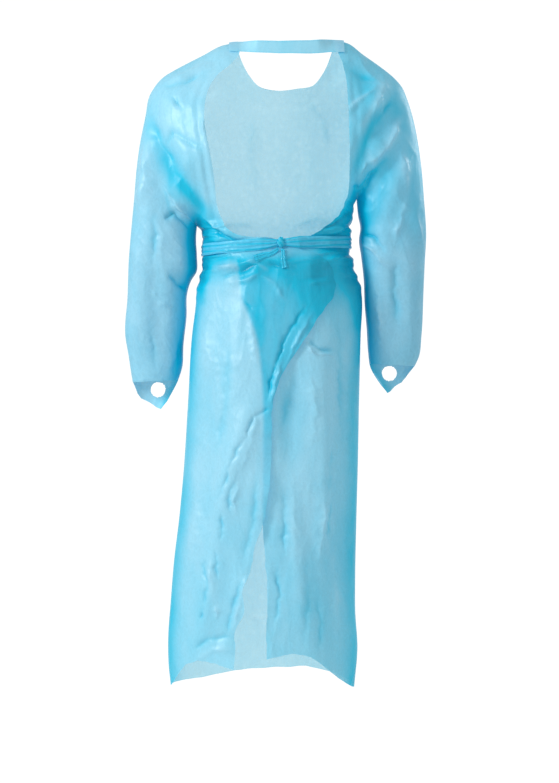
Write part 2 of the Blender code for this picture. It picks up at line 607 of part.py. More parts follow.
def pull_back(points, normals, edges, distance):
    """Move border points into the piece, square to each border edge, to open the seam gap."""
    inward = np.zeros(points.shape)
    count = np.zeros(len(points))
    for a, b in edges:
        step = points[b] - points[a]
        middle = normals[a] + normals[b]
        turn = np.cross(middle, step)
        turn /= max(np.linalg.norm(turn), 1e-12)
        for end in (a, b):
            inward[end] += turn
            count[end] += 1
    moved = points.copy()
    size = np.linalg.norm(inward, axis=1)
    border = size > 1e-9
    unit = inward[border] / size[border][:, None]
    miter = np.clip(size[border] / np.maximum(count[border], 1), 0.5, 1.0)
    moved[border] += unit * (distance / miter)[:, None]
    return moved - points


def material(name, colour):
    """Plain Principled material for one piece."""
    result = bpy.data.materials.new(name)
    result.use_nodes = True
    shader = result.node_tree.nodes["Principled BSDF"]
    shader.inputs["Base Color"].default_value = colour
    shader.inputs["Roughness"].default_value = 0.38
    shader.inputs["Metallic"].default_value = 0.0
    return result


def wall_object(surface, wall, colour, collection):
    """Closed wall: the outer surface, an inner one a wall's thickness in, and its borders."""
    edges = boundary_edges(surface.faces)
    back = pull_back(surface.points, surface.normals, edges, 0.5 * SEAM_GAP)
    outer = surface.points + back
    inner = outer - surface.normals * wall
    used = np.unique(surface.faces)
    number = np.full(len(outer), -1)
    number[used] = np.arange(len(used))
    count = len(used)
    points = np.concatenate([outer[used], inner[used]])
    faces = [tuple(number[face]) for face in surface.faces]
    faces += [tuple(number[face[::-1]] + count) for face in surface.faces]
    faces += [(number[b], number[a], number[a] + count, number[b] + count) for a, b in edges]
    mesh = bpy.data.meshes.new(surface.name)
    mesh.from_pydata(points.tolist(), [], [tuple(int(v) for v in face) for face in faces])
    mesh.validate()
    item = bpy.data.objects.new(surface.name, mesh)
    mesh.materials.append(material(surface.name + "_film", colour))
    mesh.shade_smooth()
    mesh.set_sharp_from_angle(angle=math.radians(40.0))
    collection.objects.link(item)
    return item


def body_surfaces():
    """Front, both backs and both sleeves, with folds raised and normals shared at the seams."""
    surfaces = []
    base, height = panel_points(front_layout(), "front", True)
    for part, first, end in PANEL_LENGTHS:
        surfaces.append(Surface("front_" + part, base, height, flip=True, rows=(first, end)))
    for side in ("left", "right"):
        base, height = panel_points(back_layout(side), "back", True, lift=side)
        for part, first, end in PANEL_LENGTHS:
            surfaces.append(Surface("back_" + side + "_" + part, base, height,
                                    flip=(side == "right"), rows=(first, end), narrow=True))
    for side in ("left", "right"):
        back, front = sleeve_layout(side)
        back_base, back_height = panel_points(back, "back", False)
        front_base, front_height = panel_points(front, "front", False)
        base = np.concatenate([back_base, front_base[:, -2:0:-1]], axis=1)
        height = np.concatenate([back_height, front_height[:, -2:0:-1]], axis=1)
        for part, first, end in SLEEVE_LENGTHS:
            surfaces.append(Surface("sleeve_" + side + "_" + part, base, height, wrap=True,
                                    flip=(side == "right"), rows=(first, end)))
    share_normals(surfaces)
    for surface in surfaces:
        surface.points = surface.points + surface.normals * surface.height[:, None]
    share_normals(surfaces)
    return surfaces


def panel_tree(surfaces):
    """Search tree over the outer faces of front and backs, for what lies on them.

    Each quad is split along its first diagonal, as Blender splits it.
    """
    points = []
    faces = []
    for surface in surfaces:
        if not surface.name.startswith("sleeve"):
            for corners in ((0, 1, 2), (0, 2, 3)):
                faces += (surface.faces[:, corners] + len(points)).tolist()
            points += surface.points.tolist()
    return BVHTree.FromPolygons(points, faces)


def level_reach(tree, angle, z):
    """How far the panels reach from the waist's middle in a level direction."""
    direction = (math.cos(angle), math.sin(angle), 0.0)
    start = (WAIST_MIDDLE + direction[0], direction[1], z)
    hit = tree.ray_cast(start, (-direction[0], -direction[1], 0.0))
    return 1.0 - hit[3]


def stretch_round(reach, angle):
    """Pull a level loop taut: where it sinks below the chord of its neighbours it is lifted."""
    points = reach.copy()
    for _ in range(60):
        ends = points[:, None] * np.stack([np.cos(angle), np.sin(angle)], axis=-1)
        before, after = ends[:-2], ends[2:]
        step = after - before
        middle = np.stack([np.cos(angle[1:-1]), np.sin(angle[1:-1])], axis=-1)
        cross = before[:, 0] * after[:, 1] - before[:, 1] * after[:, 0]
        chord = cross / (middle[:, 0] * step[:, 1] - middle[:, 1] * step[:, 0])
        points[1:-1] = np.maximum(points[1:-1], chord)
    return points


def finer(grid, times=4):
    """A grid of points with straight steps put between its rows and its columns."""
    for axis in (0, 1):
        count = grid.shape[axis]
        place = np.linspace(0.0, count - 1.0, (count - 1) * times + 1)
        low = np.minimum(place.astype(int), count - 2)
        part = (place - low).reshape((-1, 1, 1) if axis == 0 else (1, -1, 1))
        grid = (1.0 - part) * np.take(grid, low, axis=axis) + part * np.take(grid, low + 1, axis=axis)
    return grid


def least_gap(points, toward, tree):
    """Smallest distance from the points to the panels, each along its own direction."""
    hits = [tree.ray_cast(tuple(point), tuple(way))[3]
            for point, way in zip(points.reshape(-1, 3), toward.reshape(-1, 3))]
    return min(distance for distance in hits if distance is not None)


def facing(surface, outward):
    """Turn a strip's faces so that its normals agree with the outward directions."""
    share_normals([surface])
    if (surface.normals * outward).sum() < 0.0:
        surface.faces = surface.faces[:, ::-1]
        share_normals([surface])
    return surface


def tie_surface(side, tree):
    """One half of the waist tie, from just in front of the side seam round to the knot.

    It is stretched level over the panels, with lengthwise pleats, and is bunched at the knot.
    """
    sign = -1.0 if side == "left" else 1.0
    seam = math.pi if side == "left" else 2.0 * math.pi
    knot_x = KNOT[0] + sign * (KNOT_HALF[0] + SEAM_GAP) - WAIST_MIDDLE
    knot_y = level_reach(tree, -0.5 * math.pi, KNOT[1])
    knot_angle = 2.0 * math.pi - math.atan2(knot_y, knot_x)
    angle = np.linspace(seam + sign * TIE_START, knot_angle, TIE_STEPS + 1)
    pleat = np.array([0.0, 1.0, 0.15, 0.85, 0.1, 0.7, 0.0])
    across = np.linspace(1.0, -1.0, len(pleat))
    share = np.linspace(0.0, 1.0, TIE_STEPS + 1)
    half = TIE_HALF_HEIGHT * (1.0 - 0.45 * ease((share - 0.86) / 0.14))
    reach = np.array([level_reach(tree, a, float(tie_height(WAIST_MIDDLE + WAIST_HALF * math.cos(a))))
                      for a in angle])
    x = WAIST_MIDDLE + reach * np.cos(angle)
    z = tie_height(x)[:, None] + half[:, None] * across[None]
    reach = np.array([max(level_reach(tree, a, float(h)) for h in row) for a, row in zip(angle, z)])
    ripple = 0.8 + 0.2 * np.sin(8.0 * angle[:, None] + 3.0 * across[None])
    reach = stretch_round(reach, angle)[:, None] + SEAT_START + TIE_PLEAT * pleat[None] * ripple
    outward = np.stack([np.cos(angle), np.sin(angle), 0.0 * angle], axis=-1)[:, None] + 0.0 * z[..., None]
    points = outward * reach[..., None] + np.array([WAIST_MIDDLE, 0.0, 0.0])
    points[..., 2] = z
    drop = least_gap(finer(points), finer(-outward), tree) - TIE_WALL - SEAT_GAP
    points = points - outward * drop
    surface = Surface("tie_" + side, points, np.zeros(z.shape))
    return facing(surface, surface.points * np.array([1.0, 1.0, 0.0]))


def tie_end_surface(side, tree):
    """One free end of the tie: a narrow folded strip that widens to its cut end."""
    rows = np.array(TIE_ENDS[side])
    share = np.linspace(0.0, 1.0, 11)
    middle = along(smooth_line(rows[:, :2]), share)
    half = np.interp(share, np.linspace(0.0, 1.0, len(rows)), rows[:, 2])
    step = np.gradient(middle, axis=0)
    square = np.stack([-step[:, 1], step[:, 0]], axis=-1)
    square /= np.linalg.norm(square, axis=1)[:, None]
    pleat = np.array([0.0, 1.0, 0.2, 0.9, 0.1])
    across = np.linspace(-1.0, 1.0, len(pleat))
    grid = middle[:, None] + square[:, None] * half[:, None, None] * across[None, :, None]
    under = np.array([[tree.ray_cast((x, -1.0, z), (0.0, 1.0, 0.0))[0][1] for x, z in row]
                      for row in grid]).min(axis=1)
    wave = TIE_END_WAVE * (1.0 + np.sin(7.0 * share))
    y = (under - SEAT_START - wave)[:, None] - TIE_PLEAT * pleat[None]
    points = np.stack([grid[..., 0], y, grid[..., 1]], axis=-1)
    fine = finer(points)
    points[..., 1] += least_gap(fine, 0.0 * fine + np.array([0.0, 1.0, 0.0]), tree) - TIE_WALL - SEAT_GAP
    surface = Surface("tie_end_" + side, points, np.zeros(y.shape))
    return facing(surface, np.array([0.0, -1.0, 0.0]))


def strap_surface():
    """Neck strap: its ends lie on the two back panels, and it crosses behind the neck."""
    rows = np.array(STRAP)
    x = np.linspace(rows[0, 0], rows[-1, 0], STRAP_STEPS + 1)[:, None]
    across = np.linspace(1.0, -1.0, 6)[None]
    z = np.interp(x, rows[:, 0], rows[:, 1]) + np.interp(x, rows[:, 0], rows[:, 2]) * across
    x = x + 0.0 * z
    ridge = np.where(x < 0.0, np.interp(x, *LINES["left"]["outer"][::-1].T),
                     np.interp(x, *LINES["right"]["outer"].T))
    on_panel = (x < NECK["left"][0]) | (x > NECK["right"][0])
    z = np.where(on_panel, np.minimum(z, ridge - 0.0012), z)
    free = ease((x - NECK["left"][0] - 0.006) / 0.036) * ease((NECK["right"][0] + 0.002 - x) / 0.036)
    width = NECK["right"][0] - NECK["left"][0]
    bow = STRAP_BACK + STRAP_BOW * np.sin(np.pi * np.clip((x - NECK["left"][0]) / width, 0.0, 1.0))
    span = -bow - 0.16 * (np.interp(x, rows[:, 0], rows[:, 1]) - z)
    y = (1.0 - free) * base_sheet(x, z, "back", True) + free * span
    surface = Surface("neck_strap", np.stack([x, y, z], axis=-1), 0.0 * x)
    facing(surface, np.array([0.0, -1.0, 0.3]))
    surface.points = surface.points + surface.normals * (STRAP_CLEAR + STRAP_WALL)
    return facing(surface, np.array([0.0, -1.0, 0.3]))


def knot_object(tree, collection):
    """Knot of the waist tie: a small pulled-tight lump with three soft turns round it."""
    start = -BODY_DEPTH[0][2] - BODY_REACH
    bpy.ops.mesh.primitive_uv_sphere_add(segments=18, ring_count=12, radius=1.0,
                                         location=(KNOT[0], start, KNOT[1]))
    item = bpy.context.object
    item.name = "tie_knot"
    item.data.name = "tie_knot"
    for vertex in item.data.vertices:
        place = vertex.co
        turn = math.atan2(place.y, place.x)
        dent = 1.0 - 0.10 * (0.5 + 0.5 * math.cos(3.0 * turn + 5.0 * place.z))
        vertex.co = (place.x * KNOT_HALF[0] * dent, place.y * KNOT_HALF[1] * dent,
                     place.z * KNOT_HALF[2])
    points = np.array([vertex.co for vertex in item.data.vertices]) + np.array(item.location)
    item.location.y += least_gap(points, 0.0 * points + np.array([0.0, 1.0, 0.0]), tree) - SEAT_GAP
    item.data.shade_smooth()
    item.data.materials.append(material("tie_knot_film", TIE_BLUE))
    for owner in list(item.users_collection):
        owner.objects.unlink(item)
    collection.objects.link(item)
    return item


def cut_thumb_hole(sleeve, side, cutters):
    """Punch the thumb hole through the front layer of the sleeve's tab."""
    x, z = (np.array([value]) for value in THUMB_HOLE[side])
    layer = float(base_sheet(x, z, "front", False)[0])
    bpy.ops.mesh.primitive_cylinder_add(vertices=20, radius=0.5 * THUMB_HOLE_WIDTH, depth=0.044,
                                        location=(THUMB_HOLE[side][0], layer, THUMB_HOLE[side][1]),
                                        rotation=(math.radians(90.0), 0.0, 0.0))
    cutter = bpy.context.object
    cutter.name = "thumb_hole_" + side
    cutter.hide_render = True
    cutter.display_type = "WIRE"
    for owner in list(cutter.users_collection):
        owner.objects.unlink(cutter)
    cutters.objects.link(cutter)
    hole = sleeve.modifiers.new("thumb_hole", "BOOLEAN")
    hole.operation = "DIFFERENCE"
    hole.solver = "EXACT"
    hole.object = cutter


def main():
    """Build every piece of the gown."""
    clear_scene()
    parts = bpy.data.collections.new("isolation_gown")
    cutters = bpy.data.collections.new("isolation_gown_cutters")
    bpy.context.scene.collection.children.link(parts)
    bpy.context.scene.collection.children.link(cutters)
    surfaces = body_surfaces()
    tree = panel_tree(surfaces)
    for surface in surfaces:
        is_sleeve = surface.name.startswith("sleeve")
        item = wall_object(surface, WALL, SLEEVE_BLUE if is_sleeve else FILM_BLUE, parts)
        if surface.name.endswith("cuff"):
            cut_thumb_hole(item, surface.name.split("_")[1], cutters)
    for side in ("left", "right"):
        wall_object(tie_surface(side, tree), TIE_WALL, TIE_BLUE, parts)
        wall_object(tie_end_surface(side, tree), TIE_WALL, TIE_BLUE, parts)
    wall_object(strap_surface(), STRAP_WALL, FILM_BLUE, parts)
    knot_object(tree, parts)


main()
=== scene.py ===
"""Looks of the open-back isolation gown: thin creased film, its waist tie and neck strap.

Metres, +Z up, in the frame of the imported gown: the wearer would face +Y and the open back faces
-Y. Each film panel is a thin shell worked out in the front view (x across, z up), where two
sheets leave the gown's outline and swell away from its middle plane, as its solids do. Creases,
gathers and crumpled film are then raised along the sheet's own normals.
"""
import math

import bpy
import numpy as np
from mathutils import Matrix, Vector


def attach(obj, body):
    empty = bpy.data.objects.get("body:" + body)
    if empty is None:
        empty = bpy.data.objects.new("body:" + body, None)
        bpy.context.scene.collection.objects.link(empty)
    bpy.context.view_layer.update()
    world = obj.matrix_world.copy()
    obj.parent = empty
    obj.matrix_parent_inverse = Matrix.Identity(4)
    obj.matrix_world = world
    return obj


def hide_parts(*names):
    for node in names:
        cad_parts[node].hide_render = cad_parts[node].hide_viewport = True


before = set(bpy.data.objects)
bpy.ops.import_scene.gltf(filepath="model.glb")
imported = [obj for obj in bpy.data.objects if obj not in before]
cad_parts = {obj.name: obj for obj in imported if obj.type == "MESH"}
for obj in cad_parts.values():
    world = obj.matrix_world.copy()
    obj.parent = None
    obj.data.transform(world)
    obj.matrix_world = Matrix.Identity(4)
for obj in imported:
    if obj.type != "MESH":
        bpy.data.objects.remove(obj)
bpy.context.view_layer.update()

bl_info = {
    "name": "Isolation gown",
    "version": (1, 0, 0),
    "blender": (4, 5, 0),
    "location": "View3D > Sidebar > Gown",
    "description": "Builds the creased film of an open-back isolation gown round its frame",
    "category": "Object",
}


def milli(*rows):
    """Table of thousandths as an array: millimetres become metres, and shares run to 1000."""
    return np.array(rows, float) / 1000.0


# Swell of the sheets, and the flaps' free edges
ROUNDNESS = 2.2
SLEEVE_DRIFT = 0.038
BODY_REACH = 0.140
OUTLINE_FADE = 0.022
FLAP_LIFT = 0.0026
EDGE_FLARE = 0.0050
EDGE_FLARE_WIDTH = 0.020
EDGE_WAVE_LENGTH = 0.170
OPENING_STAND_OFF = 0.0035
# Flaps: lift, x where it sets in, over what distance, share of flare and crinkle, wave's start
FLAPS = {"left": (FLAP_LIFT, -0.130, 0.050, 1.0, 1.0, 0.6),
         "right": (-FLAP_LIFT, 0.140, 0.040, -0.6, 0.5, 2.4)}
# Folds along the back opening's edge: height, distance from the edge, half width
ROLLS = milli((2.2, 4, 5), (-2.6, 13, 5), (2.4, 22, 6), (-1.8, 33, 7))
ROLL_SHARE = 0.6

# Waist: the groove under the tie, the puffs on both sides of it, the gathers and the pleats
GROOVE_DEPTH = 0.0045
GROOVE_HALF = 0.013
PUFF_HEIGHT = 0.0040
PUFF_OFFSET = 0.030
PUFF_HALF = 0.014
GATHER_HEIGHT = 0.0019
GATHER_LENGTH = {"back": 0.048, "front": 0.041}
FRONT_WAIST_SHARE = 0.35
PLEAT_HEIGHT = 0.0042
PLEAT_ACROSS = 0.060
PLEAT_DOWN = 0.0135
PLEAT_REACH = 0.055

# Tie, strap and thumb hole
TIE_HALF_HEIGHT = 0.0105
SEAT_GAP = 0.0004
SEAT_REACH = 0.0045
STRAP_BACK = 0.050
STRAP_BOW = 0.006
STRAP_LIFT = 0.0027
STRAP_FREE = 0.036
THUMB_HOLE_WIDTH = 0.0275

# How the panels are divided: steps of the solids, and how many times finer the film is
ARM_STEPS = 11
RIDGE_STEPS = 10
FLAP_STEPS = 10
NECK_STEPS = 10
SLEEVE_STEPS = 11
CORNER_ROW = 12
LINE_POINTS = 160
FINER = 8
ROW_LENGTH = 0.0028
STRIP_STEPS = 150
TIE_END_STEPS = 50
STRIP_ACROSS = 24
NOISE_SIZE = 64

# Heights below which each thing sets in, and the distance over which it does
BANDS = {
    "skirt_reach": (-0.36, 0.12), "sleeve_drift": (-0.33, 0.34), "skirt_crumple": (-0.40, 0.06),
    "flap_lift": (-0.285, 0.045), "edge_flare": (-0.47, 0.12), "edge_crinkle": (-0.44, 0.06),
    "opening_top": (-0.030, 0.040), "opening_foot": (-0.275, 0.06), "roll_top": (-0.050, 0.040),
    "roll_foot": (-0.32, 0.04), "roll_strong": (-0.16, 0.12), "waist": (-0.27, 0.05),
    "hem": (-0.80, 0.36), "chest_foot": (-0.30, 0.10), "low_skirt": (-0.74, 0.20),
    "double": (-0.38, 0.03), "double_fade": (-0.62, 0.16),
}
# Seeds of the noise; a second size of pinch and pleats takes the next, and of crinkle the fifth
SEEDS = {"pinch": 51, "crinkle": {"left": 61, "right": 62}, "roll": {"left": 65, "right": 66},
         "waist": 71, "hem": 71, "free_edge": 81, "tie": 91, "tie_pleats": 93, "tie_end": 95,
         "tie_tip": 96, "end_pleats": 97, "knot": 98}

# Lines of both halves, x, z in mm: the shoulder ridge with the sleeve's outer side down to the
# thumb tab, the sleeve's inner side, the body's side to the hem, the armhole seam, the back
# opening's edge from neck to waist, the flap's upper edge across the waist, and its free edge
TABLES = {
    "left": {
        "outer": milli((-78, 9), (-104, 4), (-140, -15), (-169, -30), (-195, -44), (-217, -59),
            (-230, -75), (-238, -89), (-246, -128), (-256, -178), (-262, -222), (-267, -281),
            (-272, -335), (-277, -392), (-280, -459), (-285, -533), (-280, -565), (-274, -607),
            (-269, -636), (-263, -672)),
        "inner": milli((-151, -329), (-152.5, -352), (-151, -385), (-152, -414), (-162, -430),
            (-169, -451), (-171, -496), (-177, -548), (-180, -592), (-188, -616), (-214, -672)),
        "side": milli((-151, -329), (-142.5, -342), (-140, -370), (-139, -385), (-142, -414),
            (-151, -444), (-153, -474), (-160, -533), (-167, -651), (-176, -790), (-184, -873),
            (-193, -947), (-199, -1021), (-204, -1095), (-203, -1140), (-199, -1178)),
        "armhole": milli((-219, -110), (-212, -180), (-190, -250), (-168, -300), (-151, -329)),
        "opening": milli((-78, 9), (-71, -16), (-86, -40), (-109, -62), (-123, -84), (-131, -110),
            (-133, -140), (-129, -175), (-121, -215), (-114, -260), (-108, -306), (-94, -336)),
        "flap_top": milli((-94, -336), (-76, -350), (-48, -356), (-18, -357), (8, -366),
            (46, -382), (78, -394), (96, -412)),
        "flap_edge": milli((96, -412), (101, -452), (69, -505), (40, -552), (0, -620),
            (-10, -655), (-12, -742), (-23, -850), (-31, -884), (-44, -918), (-48, -950),
            (-62, -992), (-60, -1028), (-78, -1070), (-78, -1100), (-80, -1135))},
    "right": {
        "outer": milli((104, 13), (128, 8), (156, -13), (180, -30), (200, -45), (216, -59),
            (229, -75), (237, -94), (249, -133), (258, -178), (264, -222), (269, -281),
            (273, -348), (271, -392), (269, -448), (266, -533), (262, -570), (252, -592),
            (241, -612), (236, -638)),
        "inner": milli((144.3, -279.3), (147.5, -311), (151.5, -333), (149, -355), (153, -385),
            (158, -429), (160, -474), (164, -518), (167, -562), (171, -590), (198, -638)),
        "side": milli((144.3, -279.3), (138.5, -298), (136, -340), (131.5, -370), (135.5, -385),
            (143, -414), (152, -444), (154, -459), (152, -533), (149, -651), (147, -760),
            (144, -873), (142, -970), (142, -1040), (146, -1110), (140, -1180)),
        "armhole": milli((217, -100), (208, -155), (185, -210), (162, -252), (144.3, -279.3)),
        "opening": milli((104, 13), (109, -16), (117, -44), (122, -68), (125, -112), (127, -166),
            (128, -220), (125.5, -262), (119, -290), (109, -313)),
        "flap_top": milli((109, -313), (88, -336), (60, -354), (30, -364), (5, -370), (-30, -382),
            (-60, -402), (-72, -425)),
        "flap_edge": milli((-72, -425), (-69, -452), (-39, -543), (-30, -615), (-28, -740),
            (-28, -880), (-24, -941), (-19, -993), (-21, -1060), (-22, -1117))}}
# Neck and underarm points, the height at which the armhole starts on the ridge, and the neckline
NECK = {side: tables["outer"][0] for side, tables in TABLES.items()}
UNDERARM = {side: tables["inner"][0] for side, tables in TABLES.items()}
ARMHOLE_TOP = -0.0545
NECKLINE = milli((-78, 9), (-70, -14), (-56, -40), (-36, -60), (-6, -66.5), (34, -63.5),
                 (64, -58), (84, -36), (97, -9), (104, 13))
# Heights of the rows down each side seam, below the underarm
LOW_ROWS = (*range(-540, -1021, -60), -1075, -1130)
SIDE_ROWS = {
    "left": milli(-341, -353, -365, -377, -390, -406, -427, -454, -492, *LOW_ROWS, -1178),
    "right": milli(-300, -321, -341, -360, -378, -397, -420, -450, -490, *LOW_ROWS, -1180)}
# Hem heights across each panel: share of the way from its left or side edge, z
HEM = {
    "front": milli((0, -1178), (160, -1179), (340, -1167), (500, -1164), (740, -1159),
        (880, -1166), (1000, -1180)),
    "left": milli((0, -1178), (120, -1153), (260, -1129), (450, -1121), (620, -1123),
        (800, -1128), (1000, -1135)),
    "right": milli((0, -1180), (180, -1157), (360, -1130), (500, -1114), (660, -1107),
        (800, -1109), (1000, -1117))}
# Sleeve rings: height at the outer side, height at the inner side
RINGS = {
    "left": milli((-85, -340), (-125, -350), (-172, -359), (-225, -368), (-280, -378),
        (-330, -391), (-372, -408), (-412, -429), (-448, -453), (-482, -480), (-518, -515),
        (-548, -545), (-580, -575), (-600, -596), (-618, -614)),
    "right": milli((-82, -295), (-115, -307), (-155, -318), (-200, -329), (-248, -341),
        (-295, -356), (-340, -374), (-380, -396), (-416, -421), (-450, -449), (-486, -483),
        (-518, -515), (-548, -544), (-570, -566), (-588, -584))}
# Free ends of the tie, lying on the flap below the knot: x, z, half width
TIE_ENDS = {
    "left": milli((0, -378.5, 2.8), (-12, -387, 4.2), (-27, -390.5, 5.8), (-43, -397, 7)),
    "right": milli((7.2, -378.5, 2.6), (9, -390, 3.6), (8.5, -401, 4.6), (11, -413, 5.4))}
# How far the body's sheets stand from the middle plane: z, front, back
BODY_DEPTH = milli((20, 70, 66), (-50, 88, 84), (-120, 106, 103), (-200, 118, 112),
                   (-280, 117, 104), (-366, 110, 94), (-450, 113, 107), (-580, 119, 121),
                   (-750, 122, 119), (-950, 125, 116), (-1180, 129, 115))
# The same for a sleeve, and how far in from its edge it is full: z, depth, reach
SLEEVE_DEPTH = milli((-40, 74, 85), (-150, 74, 72), (-250, 67, 64), (-330, 61, 60),
                     (-450, 56, 56), (-550, 46, 52), (-615, 36, 44), (-672, 16, 30))
# Where each sleeve's front layer ends below its back layer: share of the way across, drop
THUMB_TAB = milli((0, 0), (60, 22), (140, 31), (400, 40), (660, 50), (840, 54), (940, 40),
                  (1000, 0))
THUMB_HOLE = {"left": (-0.2266, -0.6320), "right": (0.2085, -0.6015)}
# Line of the waist tie, x, z; its knot; the waist's middle in x; and where the tie starts, in
# radians before the seam
TIE_LINE = milli((-150, -376), (-80, -373.5), (-20, -369), (4.5, -366.5), (40, -365.5),
                 (90, -364), (150, -361))
KNOT = (0.0045, -0.3665)
KNOT_HALF = (0.0072, 0.0048, 0.0098)
WAIST_MIDDLE = -0.004
TIE_START = 0.13
# Neck strap from its left end to its right end: x, z, half height
STRAP = milli((-90.5, -4, 11.2), (-64, -6, 11.2), (0, -8.5, 11.8), (60, -8, 12.6), (95, -5, 13.2),
              (120, -4, 13.6))
# Largest folds of each sheet, in mm: from x, z, through x, z, to x, z, height, half width
FOLDS = {
    "back": milli((-236, -150, -190, -240, -140, -290, -14.3, 19),
        (226, -120, 170, -172, 139, -232, -11, 18), (190, -66, 172, -105, 150, -146, 5.5, 14),
        (226, -186, 214, -255, 194, -335, 7.8, 18), (-243, -190, -246, -270, -232, -350, 5.9, 18),
        (-226, -390, -226, -470, -214, -560, -5.9, 17),
        (214, -380, 222, -450, 214, -530, -5.9, 17), (-40, -640, -88, -780, -110, -905, 9, 19),
        (-112, -900, -118, -980, -140, -1080, 8.3, 18),
        (-100, -470, -124, -640, -146, -860, -7.5, 22), (22, -560, 23, -680, 20, -820, -8.3, 20),
        (76, -520, 86, -760, 78, -960, 8.3, 20), (40, -880, 42, -990, 50, -1090, 6.7, 18),
        (110, -620, 112, -860, 106, -1120, -6.7, 18)),
    "front": milli((-234, -140, -196, -235, -148, -285, -13, 20),
        (228, -130, 178, -190, 144, -240, -10, 19), (-60, -90, -85, -190, -100, -310, 4.5, 22),
        (82, -90, 92, -180, 98, -300, 4.5, 22), (-110, -440, -128, -760, -138, -1150, 9, 24),
        (-52, -430, -68, -700, -80, -1140, -8.3, 24), (-10, -450, -16, -780, -30, -1150, 8.3, 25),
        (40, -430, 38, -720, 30, -1140, -8.3, 23), (84, -450, 82, -800, 80, -1150, 9, 22),
        (-228, -380, -230, -460, -220, -560, 5.9, 17), (216, -360, 220, -450, 212, -540, 5.9, 17))}
# The photograph's scale, and the camera's place in front of the gown's open back
PIXEL = 0.00185
MIDDLE_ACROSS = 278.5
SHOULDER_DOWN = 48.0
CAMERA_DISTANCE = 3.8
CAMERA_X = 0.00185
CAMERA_Z = -0.6355
BACK_DEPTH = 0.115
VIEW_HEIGHT = 783 * PIXEL
SENSOR = 36.0

